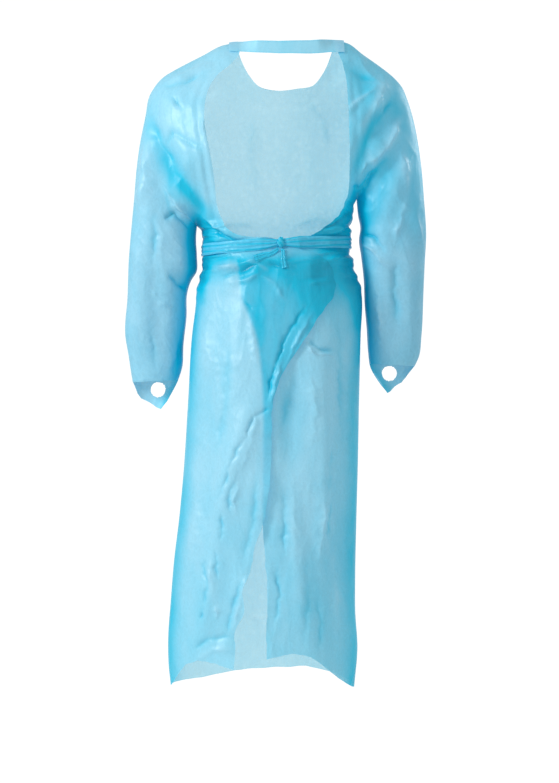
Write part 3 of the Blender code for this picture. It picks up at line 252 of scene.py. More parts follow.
# Main creases of the back's sheets or of one flap, read from the photograph in its pixels: from
# across and down, through across and down, to across and down, height in mm, half width in mm
CREASE_SCALE = 2.1
CREASES = {
    "back": ((168, 77, 188, 68, 210, 59, 3, 6), (165, 81, 185, 77, 201, 68, -2.6, 5),
        (170, 92, 176, 99, 183, 108, -2.8, 3.2), (163, 141, 171, 130, 203, 149, -2.6, 4.2),
        (149, 118, 156, 142, 168, 162, -2.2, 9), (163, 188, 174, 201, 188, 218, 3.6, 4.2),
        (176, 201, 184, 210, 193, 221, 3, 3.6), (163, 216, 172, 211, 186, 224, -3.6, 4.2),
        (146, 150, 142, 180, 141, 206, 3, 11), (152, 210, 153, 235, 150, 262, -2.6, 7),
        (206, 108, 203, 128, 208, 152, 2.2, 6), (168, 272, 176, 282, 186, 287, -3.6, 5),
        (150, 290, 158, 301, 172, 306, 2.4, 5.2), (146, 318, 150, 345, 152, 370, -1.4, 7),
        (183, 326, 176, 350, 169, 374, -1.6, 3), (346, 113, 362, 97, 378, 85, 3, 3.2),
        (386, 84, 379, 99, 372, 117, 3.4, 7), (394, 92, 390, 104, 380, 120, -3, 6),
        (402, 116, 390, 142, 377, 157, 4, 6), (377, 157, 368, 161, 362, 170, 3, 4.2),
        (388, 156, 372, 176, 361, 192, -3.6, 5.5), (402, 150, 406, 166, 408, 182, 3, 7.5),
        (352, 183, 362, 184, 377, 167, -2.6, 3.6), (407, 200, 402, 220, 396, 238, 3.4, 7.5),
        (361, 229, 375, 233, 387, 249, -3.6, 4.5), (364, 240, 376, 248, 384, 262, 2.8, 4.5),
        (398, 262, 396, 290, 400, 320, -2.6, 7), (378, 282, 382, 310, 384, 340, 2.6, 6),
        (352, 66, 368, 74, 386, 79, -2, 5.5)),
    "back_left": ((203, 246, 224, 247, 262, 237, 3.4, 3.6),
        (206, 241, 226, 243, 248, 237, -2.6, 3), (207, 223, 219, 232, 237, 240, -4, 4),
        (203, 214, 216, 224, 232, 234, 3, 3.6), (209, 266, 234, 265, 257, 260, 3.4, 4),
        (220, 277, 243, 270, 262, 262, -3.6, 3.4), (232, 282, 250, 279, 262, 271, 3, 4.2),
        (268, 262, 277, 266, 287, 268, -2.6, 3.4), (262, 276, 276, 284, 282, 300, 2.4, 5),
        (292, 262, 308, 259, 326, 262, 1.8, 4), (300, 279, 316, 277, 332, 274, -1, 3.6),
        (308, 284, 318, 281, 330, 282, 1.4, 3.4), (304, 309, 286, 337, 275, 368, -2.6, 3.6),
        (275, 366, 271, 381, 268, 398, -2.8, 3.4), (311, 314, 297, 340, 286, 366, 2.3, 4.2),
        (281, 362, 276, 382, 272, 402, 2.3, 3.6), (268, 409, 253, 418, 247, 438, -3.2, 3.4),
        (247, 437, 238, 450, 231, 468, -2.6, 4.6), (231, 467, 227, 482, 220, 497, -2.3, 4.3),
        (258, 412, 252, 440, 242, 470, 2, 8.1), (236, 482, 229, 497, 232, 513, -2.4, 3.8),
        (240, 484, 235, 500, 236, 515, 2, 4.1), (223, 513, 222, 526, 223, 539, -2.6, 4.3),
        (203, 562, 208, 587, 204, 607, -2.4, 4.6), (216, 552, 217, 567, 219, 581, -2.3, 4.1),
        (209, 560, 212, 577, 214, 592, 2, 5.4), (242, 580, 233, 608, 227, 632, -2.7, 4.6),
        (248, 578, 240, 602, 234, 628, 2.3, 5.4), (205, 609, 202, 616, 200, 623, -2.1, 3.8),
        (215, 606, 219, 612, 216, 619, 2.3, 3.8), (194, 651, 208, 640, 229, 637, -2.4, 4.6),
        (196, 662, 214, 650, 230, 650, 2, 5.4), (240, 299, 247, 305, 254, 314, -1.8, 3.2),
        (200, 330, 212, 372, 218, 420, 2.2, 10), (228, 345, 226, 400, 216, 450, -2.2, 10),
        (196, 455, 194, 520, 186, 600, 2, 12.2), (250, 300, 254, 345, 262, 384, 2.2, 8),
        (256, 480, 254, 520, 244, 556, -2, 6.8)),
    "back_right": ((300, 241, 317, 237, 342, 232, -4, 3.2), (297, 245, 318, 242, 346, 238, 3, 3),
        (350, 209, 336, 222, 314, 234, -3.6, 3.6), (350, 220, 338, 230, 322, 236, 2.8, 3.2),
        (307, 345, 316, 354, 333, 357, 3.6, 3), (309, 340, 320, 349, 334, 351, -3, 3),
        (296, 376, 287, 407, 281, 442, -1.8, 9), (309, 372, 315, 408, 312, 444, 3.2, 9),
        (332, 448, 330, 470, 328, 492, -1.8, 6.1), (284, 495, 285, 525, 284, 556, -2.3, 5.7),
        (292, 470, 294, 530, 296, 600, 2, 10.8), (325, 499, 323, 528, 319, 557, 2.7, 5.7),
        (333, 503, 330, 520, 328, 537, -2.3, 4.6), (306, 560, 308, 600, 304, 650, -2, 9.5),
        (336, 560, 338, 606, 341, 650, 2, 8.1), (276, 570, 280, 594, 276, 620, -2.3, 4.1),
        (318, 600, 322, 626, 320, 650, -1.8, 6.1), (340, 320, 343, 380, 345, 440, -2.4, 7))}
# Similar creases on the front, which the photograph hides: x, z three times, height, half width
FRONT_CREASES = milli((-205, -75, -165, -85, -120, -70, 2.8, 6),
    (-190, -105, -160, -135, -132, -180, -2.8, 5), (-215, -210, -180, -240, -150, -300, 3.4, 5),
    (-235, -300, -215, -312, -185, -318, -3, 5), (-245, -400, -235, -450, -238, -505, 2.6, 7),
    (-205, -420, -208, -470, -214, -520, -2.4, 6), (-60, -85, -30, -100, 20, -95, 2.2, 6),
    (-45, -120, -52, -180, -40, -245, -2.4, 9), (60, -85, 85, -120, 95, -170, -2.4, 6),
    (40, -140, 45, -200, 60, -280, 2.2, 9), (120, -60, 160, -80, 196, -72, 3, 6),
    (135, -100, 165, -130, 190, -175, -3, 5), (150, -240, 180, -215, 210, -195, 3.4, 5),
    (175, -300, 205, -305, 235, -285, -3.2, 5), (240, -350, 236, -400, 242, -450, 2.6, 7),
    (-120, -330, -85, -318, -50, -322, -3, 4.5), (-118, -412, -80, -420, -40, -408, 3, 4.5),
    (20, -408, 60, -424, 105, -412, 3, 4.5), (30, -322, 70, -310, 108, -322, -2.8, 4.5),
    (-100, -520, -95, -600, -108, -690, 2.8, 7), (-45, -560, -38, -640, -46, -720, -2.6, 7),
    (12, -470, 18, -560, 10, -640, 2.4, 8), (70, -520, 60, -600, 66, -700, -2.8, 6),
    (112, -560, 118, -640, 112, -740, 2.6, 8), (-140, -800, -132, -880, -146, -960, -2.6, 6),
    (-80, -860, -88, -950, -82, -1050, 2.8, 7), (-10, -800, -4, -880, -14, -980, -2.8, 7),
    (50, -900, 56, -990, 46, -1080, 2.8, 7), (104, -860, 98, -960, 106, -1060, -2.6, 6),
    (-60, -1060, -30, -1072, 6, -1060, 2.2, 4.5), (60, -1100, 84, -1090, 112, -1104, -2.4, 4.5),
    (-150, -1080, -126, -1070, -100, -1082, -2.4, 4.5))
# Broad sweeps of deeper and lighter film, painted shade and painted highlight, in the photograph's
# pixels: from across and down,
# # through across and down, to across and down, tone in hundredths, half width in mm
SHADE_AND_HIGHLIGHT_SWEEPS = ((145, 108, 154, 145, 172, 178, 34, 12), (158, 158, 176, 186, 197, 207, 40, 12),
    (174, 178, 191, 195, 208, 211, 52, 11), (190, 220, 189, 248, 189, 280, 75, 12),
    (166, 176, 168, 190, 178, 200, 28, 5), (163, 186, 168, 208, 176, 218, 24, 4),
    (187, 288, 187, 322, 178, 352, 34, 7), (183, 328, 177, 352, 171, 374, 40, 6),
    (188, 72, 200, 84, 206, 98, -12, 12), (158, 225, 156, 280, 156, 345, -12, 22),
    (352, 62, 366, 84, 372, 104, 28, 20), (384, 80, 376, 100, 364, 124, -34, 6),
    (344, 113, 354, 101, 367, 92, -32, 3), (378, 112, 366, 140, 354, 174, 44, 10),
    (404, 113, 392, 136, 378, 159, -32, 7), (396, 90, 402, 110, 408, 132, 22, 12),
    (370, 150, 371, 158, 378, 163, -20, 6), (390, 160, 384, 190, 374, 218, 25, 14),
    (400, 150, 404, 166, 409, 180, -16, 6), (412, 150, 416, 200, 418, 240, 15, 8),
    (364, 262, 366, 300, 370, 332, 34, 7), (402, 240, 404, 300, 402, 340, -8, 16),
    (349, 232, 352, 275, 357, 322, 40, 13), (330, 262, 342, 272, 350, 290, 28, 12),
    (205, 222, 204, 255, 201, 300, 60, 8), (212, 257, 232, 257, 252, 265, 24, 5),
    (214, 268, 232, 266, 248, 270, -22, 4), (249, 262, 258, 264, 267, 269, -38, 4),
    (294, 262, 312, 263, 328, 265, -16, 4), (258, 286, 258, 330, 262, 400, 16, 14),
    (283, 380, 286, 410, 287, 450, 12, 9), (304, 440, 306, 500, 300, 560, -10, 16),
    (353, 330, 353, 400, 352, 470, 18, 9), (196, 300, 192, 360, 190, 440, 10, 8),
    (262, 430, 258, 480, 250, 540, 14, 8), (185, 560, 200, 600, 215, 645, 10, 24))
# Crumpled film: seed, length across, length down, height, and how it is turned, in radians
CRUMPLES = {
    "skirt": ((11, 0.052, 0.140, 0.00280, 0.06), (12, 0.022, 0.060, 0.00100, -0.14),
              (13, 0.010, 0.024, 0.00035, 0.30)),
    "torso": ((21, 0.060, 0.075, 0.00520, 0.70), (22, 0.026, 0.036, 0.00160, -0.60),
              (23, 0.012, 0.017, 0.00035, 0.40)),
    "waist": ((31, 0.060, 0.012, 0.00300, 0.10), (32, 0.024, 0.020, 0.00220, -0.25),
              (33, 0.010, 0.010, 0.00060, 0.50)),
    "sleeve": ((41, 0.042, 0.090, 0.00480, 0.16), (42, 0.021, 0.034, 0.00180, 0.80),
               (43, 0.011, 0.015, 0.00035, -0.50)),
}

# Colours: one layer of film, bunched film and painted shade, the deepest bunched film and painted
# shade, the tie, what shines through, the floor
FILM_LIGHT = (0.370, 0.725, 0.885)
FILM_DEEP = (0.000, 0.560, 0.790)
FILM_DARK = (0.000, 0.330, 0.500)
TIE_LIGHT = (0.180, 0.680, 0.920)
CLEAR_TINT = (0.66, 0.93, 0.98)
THROUGH_SHARE = 0.22
FLOOR_WHITE = (0.90, 0.90, 0.90)
FLOOR_ROUGHNESS = 0.9
# How much more the front and the sleeves hide than the back, then cover and grain of the rest
FRONT_COVER = -0.34
SLEEVE_COVER = 0.04
TIE_FILM = (0.86, 1.2)
STRAP_FILM = (0.94, 0.6)
# Tone of film: painted shade for each metre of trough and painted highlight for each metre of
# ridge, and where the left flap lies on the right one
TROUGH_SHADE = 80.0
RIDGE_HIGHLIGHT = 45.0
RELIEF_MOST = 0.006
DOUBLE_TONE = 0.74
# Floor's height, radius and sides, and how the world's light rises towards the back of the view
FLOOR_Z = -1.56
FLOOR_RADIUS = 1.0
FLOOR_SIDES = 96
WORLD_RISE = {"From Min": 0.80, "From Max": 0.955, "To Min": 0.60, "To Max": 1.06}
# Lamps: place, size and power
LAMP_AIM = (0.0, 0.0, -0.55)
LAMPS = {"key": ((-2.9, -1.9, 0.95), 1.1, 92.0), "fill": ((1.2, -3.4, -0.3), 1.6, 10.0),
         "behind": ((2.6, 2.3, 0.9), 1.6, 28.0)}

# Solids that a film stands for, where they are more than one: the lengths of a panel
LENGTHS = {"front": ("top", "skirt"), "back": ("top", "skirt"),
           "sleeve": ("upper", "fore", "cuff")}
SIDES = {"left": -1.0, "right": 1.0}
# Sockets of the film's node group
GROUP_SOCKETS = {
    "INPUT": (("Light", "Color"), ("Deep", "Color"), ("Density", "Float"), ("Cover", "Float"),
              ("Grain", "Float")),
    "OUTPUT": (("Colour", "Color"), ("Roughness", "Float"), ("Alpha", "Float"),
               ("Height", "Float"))}
# What a user's settings have in common
SHARE = {"subtype": "FACTOR"}
SIZE = {"subtype": "DISTANCE", "unit": "LENGTH"}
COLOUR = {"subtype": "COLOR", "size": 3, "min": 0.0, "max": 1.0}


def ease(value):
    """Smooth step: 3 t squared minus 2 t cubed, for t held between 0 and 1."""
    t = np.clip(value, 0.0, 1.0)
    return t * t * (3.0 - 2.0 * t)


def below(z, band):
    """0 above the top of a named band of heights, easing to 1 at its foot."""
    top, span = BANDS[band]
    return ease((top - z) / span)


def bell(distance, width, power=2):
    """Soft hump across a line: e to the minus (distance over width) to a power, mostly squared."""
    return np.exp(-np.abs(distance / width) ** power)


def fade_out(place, start, power):
    """Full along the middle of a line and less at both ends: sine of pi times the place."""
    return np.sin(np.pi * (start + (1.0 - 2.0 * start) * place)) ** power


def run_length(points):
    """Length along a line from its first point to each of its points."""
    return np.concatenate(([0.0], np.cumsum(np.linalg.norm(np.diff(points, axis=0), axis=1))))


def smooth_line(points):
    """Finely divided smooth curve through the points, a cubic between each two."""
    length = run_length(points)
    slope = np.gradient(points, length, axis=0)
    place = np.linspace(0.0, length[-1], LINE_POINTS)
    index = np.clip(np.searchsorted(length, place, side="right") - 1, 0, len(points) - 2)
    span = (length[index + 1] - length[index])[:, None]
    t = (place - length[index])[:, None] / span
    start = (1 + 2 * t) * (1 - t) ** 2 * points[index] + t * (1 - t) ** 2 * span * slope[index]
    end = t * t * (3 - 2 * t) * points[index + 1] - t * t * (1 - t) * span * slope[index + 1]
    return start + end


def along(line, share):
    """Points at the given shares of a line's length."""
    length = run_length(line)
    place = np.asarray(share) * length[-1]
    return np.stack([np.interp(place, length, line[:, axis]) for axis in (0, 1)], axis=-1)


def look_up(table, place, column=1):
    """One column of a table at values of its first column, which runs up or down."""
    sign = np.sign(table[-1, 0] - table[0, 0])
    return np.interp(sign * np.asarray(place), sign * table[:, 0], table[:, column])


def across_at(line, z):
    """The x of a line that runs downward, at the heights z."""
    return look_up(line[:, ::-1], z)


def side_lines(side):
    """All the smooth lines of one half of the gown; the armhole starts on the ridge itself."""
    lines = {name: smooth_line(rows) for name, rows in TABLES[side].items()}
    top = (across_at(lines["outer"], ARMHOLE_TOP), ARMHOLE_TOP)
    lines["armhole"] = smooth_line(np.vstack((top, TABLES[side]["armhole"])))
    return lines


LINES = {side: side_lines(side) for side in SIDES}
OUTLINE = [np.array([NECK["left"], NECK["right"]])]
OUTLINE += [LINES[side][name] for side in SIDES for name in ("outer", "inner", "side")]


def ridge_line(side):
    """The part of the outer line between the armhole and the neck, from the armhole inward."""
    line = LINES[side]["outer"]
    meet = LINES[side]["armhole"][0]
    inner = line[line[:, 1] > meet[1] + 1e-4]
    return np.concatenate(([meet], inner[::-1]))


def gap_to_bend(x, z, line):
    """Distance to a line of points, and the place along it from 0 to 1, each part alike long."""
    nearest = np.full(x.shape, 9.0)
    place = np.zeros(x.shape)
    parts = len(line) - 1
    for part, (start, end) in enumerate(zip(line[:-1], line[1:])):
        step = (end[0] - start[0], end[1] - start[1])
        raw = ((x - start[0]) * step[0] + (z - start[1]) * step[1]) / (step[0] ** 2 + step[1] ** 2)
        t = np.clip(raw, 0.0, 1.0)
        gap = np.hypot(x - start[0] - t * step[0], z - start[1] - t * step[1])
        place = np.where(gap < nearest, (part + t) / parts, place)
        nearest = np.minimum(nearest, gap)
    return nearest, place


def gap_to_lines(x, z, lines):
    """Shortest distance in the front view from each point to the lines."""
    nearest = np.full(x.shape, 9.0)
    for line in lines:
        start = line[:-1]
        step = np.diff(line, axis=0)
        dx = x[..., None] - start[:, 0]
        dz = z[..., None] - start[:, 1]
        t = np.clip((dx * step[:, 0] + dz * step[:, 1]) / (step ** 2).sum(axis=1), 0.0, 1.0)
        gap = np.hypot(dx - t * step[:, 0], dz - t * step[:, 1]).min(axis=-1)
        nearest = np.minimum(nearest, gap)
    return nearest


def body_share(x, z, is_body):
    """How much a point belongs to the body: 1 in it, 0 in a sleeve, a fan between them above."""
    share = np.ones(x.shape)
    for side, sign in SIDES.items():
        fork = UNDERARM[side][1]
        fan = np.clip(0.016 + 0.30 * (z - fork), 0.012, 0.070)
        beyond = ease(0.5 + sign * (x - across_at(LINES[side]["armhole"], z)) / (2.0 * fan))
        beyond = np.where(z < fork - 1e-6, 0.0 if is_body else 1.0, beyond)
        share = np.where(sign * x > 0.0, 1.0 - beyond, share)
    return share


def body_reach(z):
    """Distance in from the body's edge at which its sheets are full."""
    half = 0.5 * (across_at(LINES["right"]["side"], z) - across_at(LINES["left"]["side"], z))
    return BODY_REACH + below(z, "skirt_reach") * (half - BODY_REACH)


def base_sheet(x, z, gap, sheet, share):
    """Place of the sheet in y: the middle plane plus the swell that grows in from the outline.

    The swell is full depth times (1 minus (1 minus t) to the power r) to the power 1 over r,
    with t the distance from the outline over the reach and r the roundness.
    """
    side, depth = (1.0, 1) if sheet == "front" else (-1.0, 2)
    arm = 1.0 - share
    full = share * look_up(BODY_DEPTH, z, depth) + arm * look_up(SLEEVE_DEPTH, z, 1)
    reach = share * body_reach(z) + arm * look_up(SLEEVE_DEPTH, z, 2)
    t = np.clip(gap / reach, 0.0, 1.0)
    swell = full * (1.0 - (1.0 - t) ** ROUNDNESS) ** (1.0 / ROUNDNESS)
    return arm * SLEEVE_DRIFT * below(z, "sleeve_drift") + side * swell


def photo_point(across, down):
    """Point of the gown's back seen at a pixel of the photograph: x, z in metres."""
    x = (across - MIDDLE_ACROSS) * PIXEL
    z = (SHOULDER_DOWN - down) * PIXEL
    nearer = (CAMERA_DISTANCE - BACK_DEPTH) / CAMERA_DISTANCE
    return CAMERA_X + (x - CAMERA_X) * nearer, CAMERA_Z + (z - CAMERA_Z) * nearer


def bends(rows, point=lambda x, z: (x, z)):
    """Three points, then the last two values of each row; point turns a pair into a place."""
    for row in rows:
        yield [point(*row[start:start + 2]) for start in (0, 2, 4)], row[6], row[7]


def fold_height(x, z, sheet):
    """Largest folds, as in the solids: a bell across each fold, fading to its ends."""
    total = np.zeros(x.shape)
    for bend, height, width in bends(FOLDS[sheet]):
        gap, place = gap_to_bend(x, z, bend)
        total += height * bell(gap, width) * fade_out(place, 0.10, 1.0)
    return total


def crease_rows(sheet, piece):
    """Creases of one sheet, or of one flap, as three points with a height and half width."""
    if sheet == "front":
        return bends(FRONT_CREASES)
    rows = CREASES["back"] + CREASES.get(piece, ())
    return ((bend, 0.001 * height, 0.001 * width)
            for bend, height, width in bends(rows, photo_point))


def crease_height(x, z, sheet, piece):
    """Main creases: across each a rounded tent, e to the minus (root(d d + r r) minus r) over w.

    Each wanders a little to both sides of its line, and it dies away to both of its ends.
    """
    total = np.zeros(x.shape)
    for number, (bend, height, width) in enumerate(crease_rows(sheet, piece)):
        wander = (0.0014 * np.sin(160.0 * (x + z) + 2.3 * number)
                  + 0.0008 * np.sin(390.0 * z + number))
        gap, place = gap_to_bend(x + wander, z + 0.6 * wander, bend)
        tip = 0.35 * width
        tent = np.exp(-(np.hypot(gap, tip) - tip) / (0.75 * width))
        uneven = 0.78 + 0.22 * np.sin(9.0 * place + 1.7 * number)
        total += CREASE_SCALE * height * tent * uneven * fade_out(place, 0.04, 0.7)
    return total


def shade_and_highlight_tone(x, z):
    """Sweeps of painted shade and painted highlight in the film: a bell across each, fading to its
    ends.
    """
    total = np.zeros(x.shape)
    for bend, tone, width in bends(SHADE_AND_HIGHLIGHT_SWEEPS, photo_point):
        gap, place = gap_to_bend(x, z, bend)
        total += 0.01 * tone * bell(gap, 0.001 * width) * fade_out(place, 0.06, 0.5)
    return total


def lattice_noise(u, v, seed):
    """Smooth noise from minus 1 to 1: random values on a unit lattice, eased between them."""
    values = np.random.default_rng(seed).uniform(-1.0, 1.0, (NOISE_SIZE, NOISE_SIZE))
    across = np.floor(u).astype(int)
    down = np.floor(v).astype(int)
    s = ease(u - across)
    low, high = (values[(down + j) % NOISE_SIZE, across % NOISE_SIZE] * (1.0 - s)
                 + values[(down + j) % NOISE_SIZE, (across + 1) % NOISE_SIZE] * s
                 for j in (0, 1))
    t = ease(v - down)
    return low * (1.0 - t) + high * t


def crumple(x, z, kind):
    """Crumpled film: ridges where turned and stretched noise passes through zero, in three sizes.

    Each size adds height times (1 minus the noise's absolute value) squared, less its mean, and
    a slower noise makes it stronger in some places and weaker in others.
    """
    total = np.zeros(x.shape)
    for seed, across, down, height, turn in CRUMPLES[kind]:
        u = (x * math.cos(turn) + z * math.sin(turn)) / across
        v = (z * math.cos(turn) - x * math.sin(turn)) / down
        bend = 0.35 * lattice_noise(0.4 * u, 0.4 * v, seed + 100)
        ridge = (1.0 - np.abs(lattice_noise(u + bend, v - bend, seed))) ** 2 - 0.42
        place = 0.65 + 0.55 * lattice_noise(x / 0.085, z / 0.120, seed + 200)
        total += height * ridge * np.clip(place, 0.1, 1.3)
    return total


def waist_height(x, z, sheet):
    """The groove that the tie draws in, the puffs above and below it, and the gathers."""
    drop = np.abs(z - look_up(TIE_LINE, x))
    strength = 1.0 if sheet == "back" else FRONT_WAIST_SHARE
    groove = -GROOVE_DEPTH * bell(drop, GROOVE_HALF)
    puffs = PUFF_HEIGHT * bell(drop - PUFF_OFFSET, PUFF_HALF)
    fade = bell(drop - 0.040, 0.035) * ease((drop - 0.010) / 0.020)
    gathers = GATHER_HEIGHT * np.sin(2.0 * np.pi * x / GATHER_LENGTH[sheet] + 0.7) * fade
    return strength * (groove + puffs) + gathers


def film_crumple(x, z, gap, sheet, share):
    """Crumpled film all over: by region, and faded where two sheets meet at the outline."""
    drop = z - look_up(TIE_LINE, x)
    near_tie = bell(drop, 0.050) * ease((np.abs(drop) - 0.004) / 0.010)
    low = below(z, "skirt_crumple")
    mirror, offset = (1.0, 0.0) if sheet == "back" else (-1.0, 3.7)
    u = mirror * x + offset
    body = low * crumple(u, z, "skirt") + (1.0 - low) * crumple(u, z, "torso")
    body = body * (1.0 - near_tie) + near_tie * crumple(u, z, "waist")
    side = ease((np.abs(x - WAIST_MIDDLE) - 0.055) / 0.045)
    pleat = lattice_noise(x / PLEAT_ACROSS + offset, z / PLEAT_DOWN + 0.35 * np.sin(40.0 * x),
                          SEEDS["waist"])
    pleat = PLEAT_HEIGHT * (0.6 - np.minimum(2.2 * np.abs(pleat), 1.0)) * side
    pleat = pleat * bell(drop, PLEAT_REACH, 4) * ease(gap / 0.006)
    fine = share * body + (1.0 - share) * crumple(u, z, "sleeve")
    return fine * ease(gap / 0.016) + share * pleat


def flap_lift(x, z, side):
    """The outer flap stands off, and the inner flap is drawn in, where they overlap.

    Each free edge also flares a little, the outer one outward and the inner one inward.
    """
    lift, start, span, flare_share, crinkle_share, phase = FLAPS[side]
    lift = lift * ease(-SIDES[side] * (x - start) / span) * below(z, "flap_lift")
    edge = gap_to_lines(x, z, [LINES[side]["flap_edge"]])
    wave = 0.55 + 0.45 * np.sin(2.0 * np.pi * z / EDGE_WAVE_LENGTH + phase)
    flare = EDGE_FLARE * bell(edge, EDGE_FLARE_WIDTH) * below(z, "edge_flare") * wave
    crinkle = edge_crinkle(z, side) * bell(edge, 0.009, 1) * below(z, "edge_crinkle")
    stand = gap_to_lines(x, z, [LINES[side]["opening"]])
    off_back = OPENING_STAND_OFF * bell(stand, OUTLINE_FADE)
    off_back = off_back * (1.0 - below(z, "opening_foot")) * below(z, "opening_top")
    return (lift + flare_share * flare + off_back + rolled_edge(stand, x, z, side)
            + crinkle_share * crinkle)


def rolled_edge(stand, x, z, side):
    """Folds along the back opening's edge: ridges and troughs at a wandering distance."""
    reach = stand + 0.003 * lattice_noise(z / 0.030, x / 0.050, SEEDS["roll"][side])
    folds = sum(height * bell(reach - place, half) for height, place, half in ROLLS)
    strong = 0.5 + 0.5 * below(z, "roll_strong")
    return (ROLL_SHARE * folds * strong * (1.0 - below(z, "roll_foot"))
            * below(z, "roll_top"))


def edge_crinkle(z, side):
    """Small uneven waves along a flap's free edge: noise along its height in two sizes."""
    seed = SEEDS["crinkle"][side]
    return (0.0021 * lattice_noise(z / 0.024, 0.0, seed)
            + 0.0009 * lattice_noise(z / 0.010, 0.0, seed + 5))


def boundary(side):
    """Rows and points down one side of the body: the armhole, then the side seam.

    A row is counted in rows of the solids, and those of the film are a few millimetres high.
    """
    seam_rows = -np.diff(SIDE_ROWS["left"], prepend=UNDERARM["left"][1])
    steps = np.maximum(np.round(seam_rows / ROW_LENGTH).astype(int), FINER)
    rows = [np.linspace(0.0, ARM_STEPS, ARM_STEPS * FINER + 1)]
    for number, count in enumerate(steps):
        rows.append(ARM_STEPS + number + np.linspace(0.0, 1.0, count + 1)[1:])
    rows = np.concatenate(rows)
    share = 0.5 * (1.0 - np.cos(np.pi * np.clip(rows / ARM_STEPS, 0.0, 1.0)))
    arm = along(LINES[side]["armhole"], share)
    heights = np.concatenate(([UNDERARM[side][1]], SIDE_ROWS[side]))
    z = np.interp(rows, ARM_STEPS + np.arange(len(heights)), heights)
    seam = np.stack([across_at(LINES[side]["side"], z), z], axis=-1)
    return rows, np.where((rows <= ARM_STEPS)[:, None], arm, seam)


def hem_offset(points, panel, share):
    """Bend the lowest rows so that the last one follows the panel's hem."""
    ragged = 0.0012 * lattice_noise(share * 14.0, 0.0, SEEDS["hem"])
    wanted = look_up(HEM[panel], share) + ragged * ease(share / 0.05) * ease((1.0 - share) / 0.05)
    grow = below(points[:, :, 1], "hem")
    grow = grow / np.maximum(grow[-1], 1e-6)
    points[:, :, 1] += (wanted - points[-1, :, 1]) * grow
    return points


def raised(span, top, rows):
    """Rows bent up so that the first one follows the top line, less and less down the armhole."""
    fade = (np.clip(1.0 - rows / ARM_STEPS, 0.0, 1.0) ** 1.4)[:, None, None]
    return span + (top - span[0])[None] * fade


def even_steps(steps):
    """Shares from 0 to 1 in fine steps of the solids' coarse ones."""
    return np.linspace(0.0, 1.0, steps * FINER + 1)


def front_layout():
    """Front panel in the front view: rows from the shoulders and neckline to the hem."""
    rows, left = boundary("left")
    right = boundary("right")[1]
    even = even_steps(2 * RIDGE_STEPS + NECK_STEPS)
    ridge = even_steps(RIDGE_STEPS)
    top = np.concatenate([along(ridge_line("left"), ridge),
                          along(smooth_line(NECKLINE), even_steps(NECK_STEPS))[1:],
                          along(ridge_line("right"), ridge)[::-1][1:]])
    top_share = (top[:, 0] - top[0, 0]) / (top[-1, 0] - top[0, 0])
    low_share = 0.46 * (1.0 - np.cos(np.pi * even)) + 0.08 * even
    low = ease(rows / ARM_STEPS)[:, None]
    share = low * low_share + (1.0 - low) * top_share
    points = raised(left[:, None] + (right - left)[:, None] * share[..., None], top, rows)
    return hem_offset(points, "front", share[-1])


def back_layout(side):
    """One back panel in the front view: columns from its side to the free edge, and its corner.

    Columns past the ridge exist only from the corner row down, where the flap turns across.
    """
    rows, edge = boundary(side)
    shares = ease(np.linspace(0.06, 0.96, CORNER_ROW + 1))
    shares[[0, -1]] = 0.0, 1.0
    opening = along(LINES[side]["opening"], np.interp(rows, np.arange(CORNER_ROW + 1), shares))
    upper = even_steps(RIDGE_STEPS)
    even = even_steps(RIDGE_STEPS + FLAP_STEPS)
    span = edge[:, None] + (opening - edge)[:, None] * upper[None, :, None]
    start = int(np.argmin(np.abs(rows - CORNER_ROW)))
    points = np.zeros((len(rows), len(even), 2))
    top = raised(span, along(ridge_line(side), upper), rows)
    points[:start + 1, :len(upper)] = top[:start + 1]
    points[start, len(upper) - 1:] = along(LINES[side]["flap_top"], even_steps(FLAP_STEPS))
    lower_share = 0.80 * (1.0 - np.cos(0.5 * np.pi * even)) + 0.20 * even
    seam = edge[start:]
    place = (seam[:, 1] - seam[0, 1]) / (seam[-1, 1] - seam[0, 1])
    free = along(LINES[side]["flap_edge"], place)
    ragged = lattice_noise(free[:, 1] / 0.013, 0.0, SEEDS["free_edge"])
    free[:, 0] += 0.0011 * ragged * ease(place / 0.05)
    straight = seam[:, None] + (free - seam)[:, None] * lower_share[None, :, None]
    settle = (1.0 - ease((rows[start:] - CORNER_ROW) / 7.0))[:, None, None]
    points[start:] = straight + (points[start] - straight[0])[None] * settle
    return hem_offset(points, side, lower_share), start


def sleeve_layout(side):
    """Sleeve rings in the front view: the back layer from outside in, and the front layer."""
    outer_line, inner_line = LINES[side]["outer"], LINES[side]["inner"]
    share = 0.5 * (1.0 - np.cos(np.linspace(0.0, np.pi, SLEEVE_STEPS * FINER + 1)))
    arm = along(LINES[side]["armhole"], share)
    table = np.vstack(((ARMHOLE_TOP, UNDERARM[side][1]), RINGS[side]))
    last = len(table) - 1
    ring = np.linspace(0.0, last, last * 2 * FINER + 1)
    high, low = (np.interp(ring, np.arange(last + 1), table[:, axis]) for axis in (0, 1))
    outer = np.stack([across_at(outer_line, high), high], axis=-1)
    inner = np.stack([across_at(inner_line, low), low], axis=-1)
    straight = outer[:, None] + (inner - outer)[:, None] * share[None, :, None]
    chord = arm[0] + (arm[-1] - arm[0]) * share[:, None]
    layer = straight + (arm - chord)[None] * (1.0 - ease(ring / 5.0))[:, None, None]
    part = np.interp(ring, last - np.arange(3, -1, -1), (0.0, 0.08, 0.45, 1.0))
    drop = part[:, None] * look_up(THUMB_TAB, share)[None]
    tab = layer[..., 1] - drop
    left, right = across_at(outer_line, tab), across_at(inner_line, tab)
    turned = np.clip(ring - (last - 3), 0.0, 1.0)[:, None]
    x = (1.0 - turned) * layer[..., 0] + turned * (left + (right - left) * share)
    return layer, np.stack([x, tab], axis=-1)


def under_strap(x, z, sheet):
    """How much a point lies beneath one of the neck strap's ends: 1 there, 0 beyond."""
    ends = STRAP[[0, -1]] if sheet == "back" else ()
    return 0.92 * sum(bell(x - end[0], 0.022, 4) * bell(z - end[1], 0.024, 4) for end in ends)


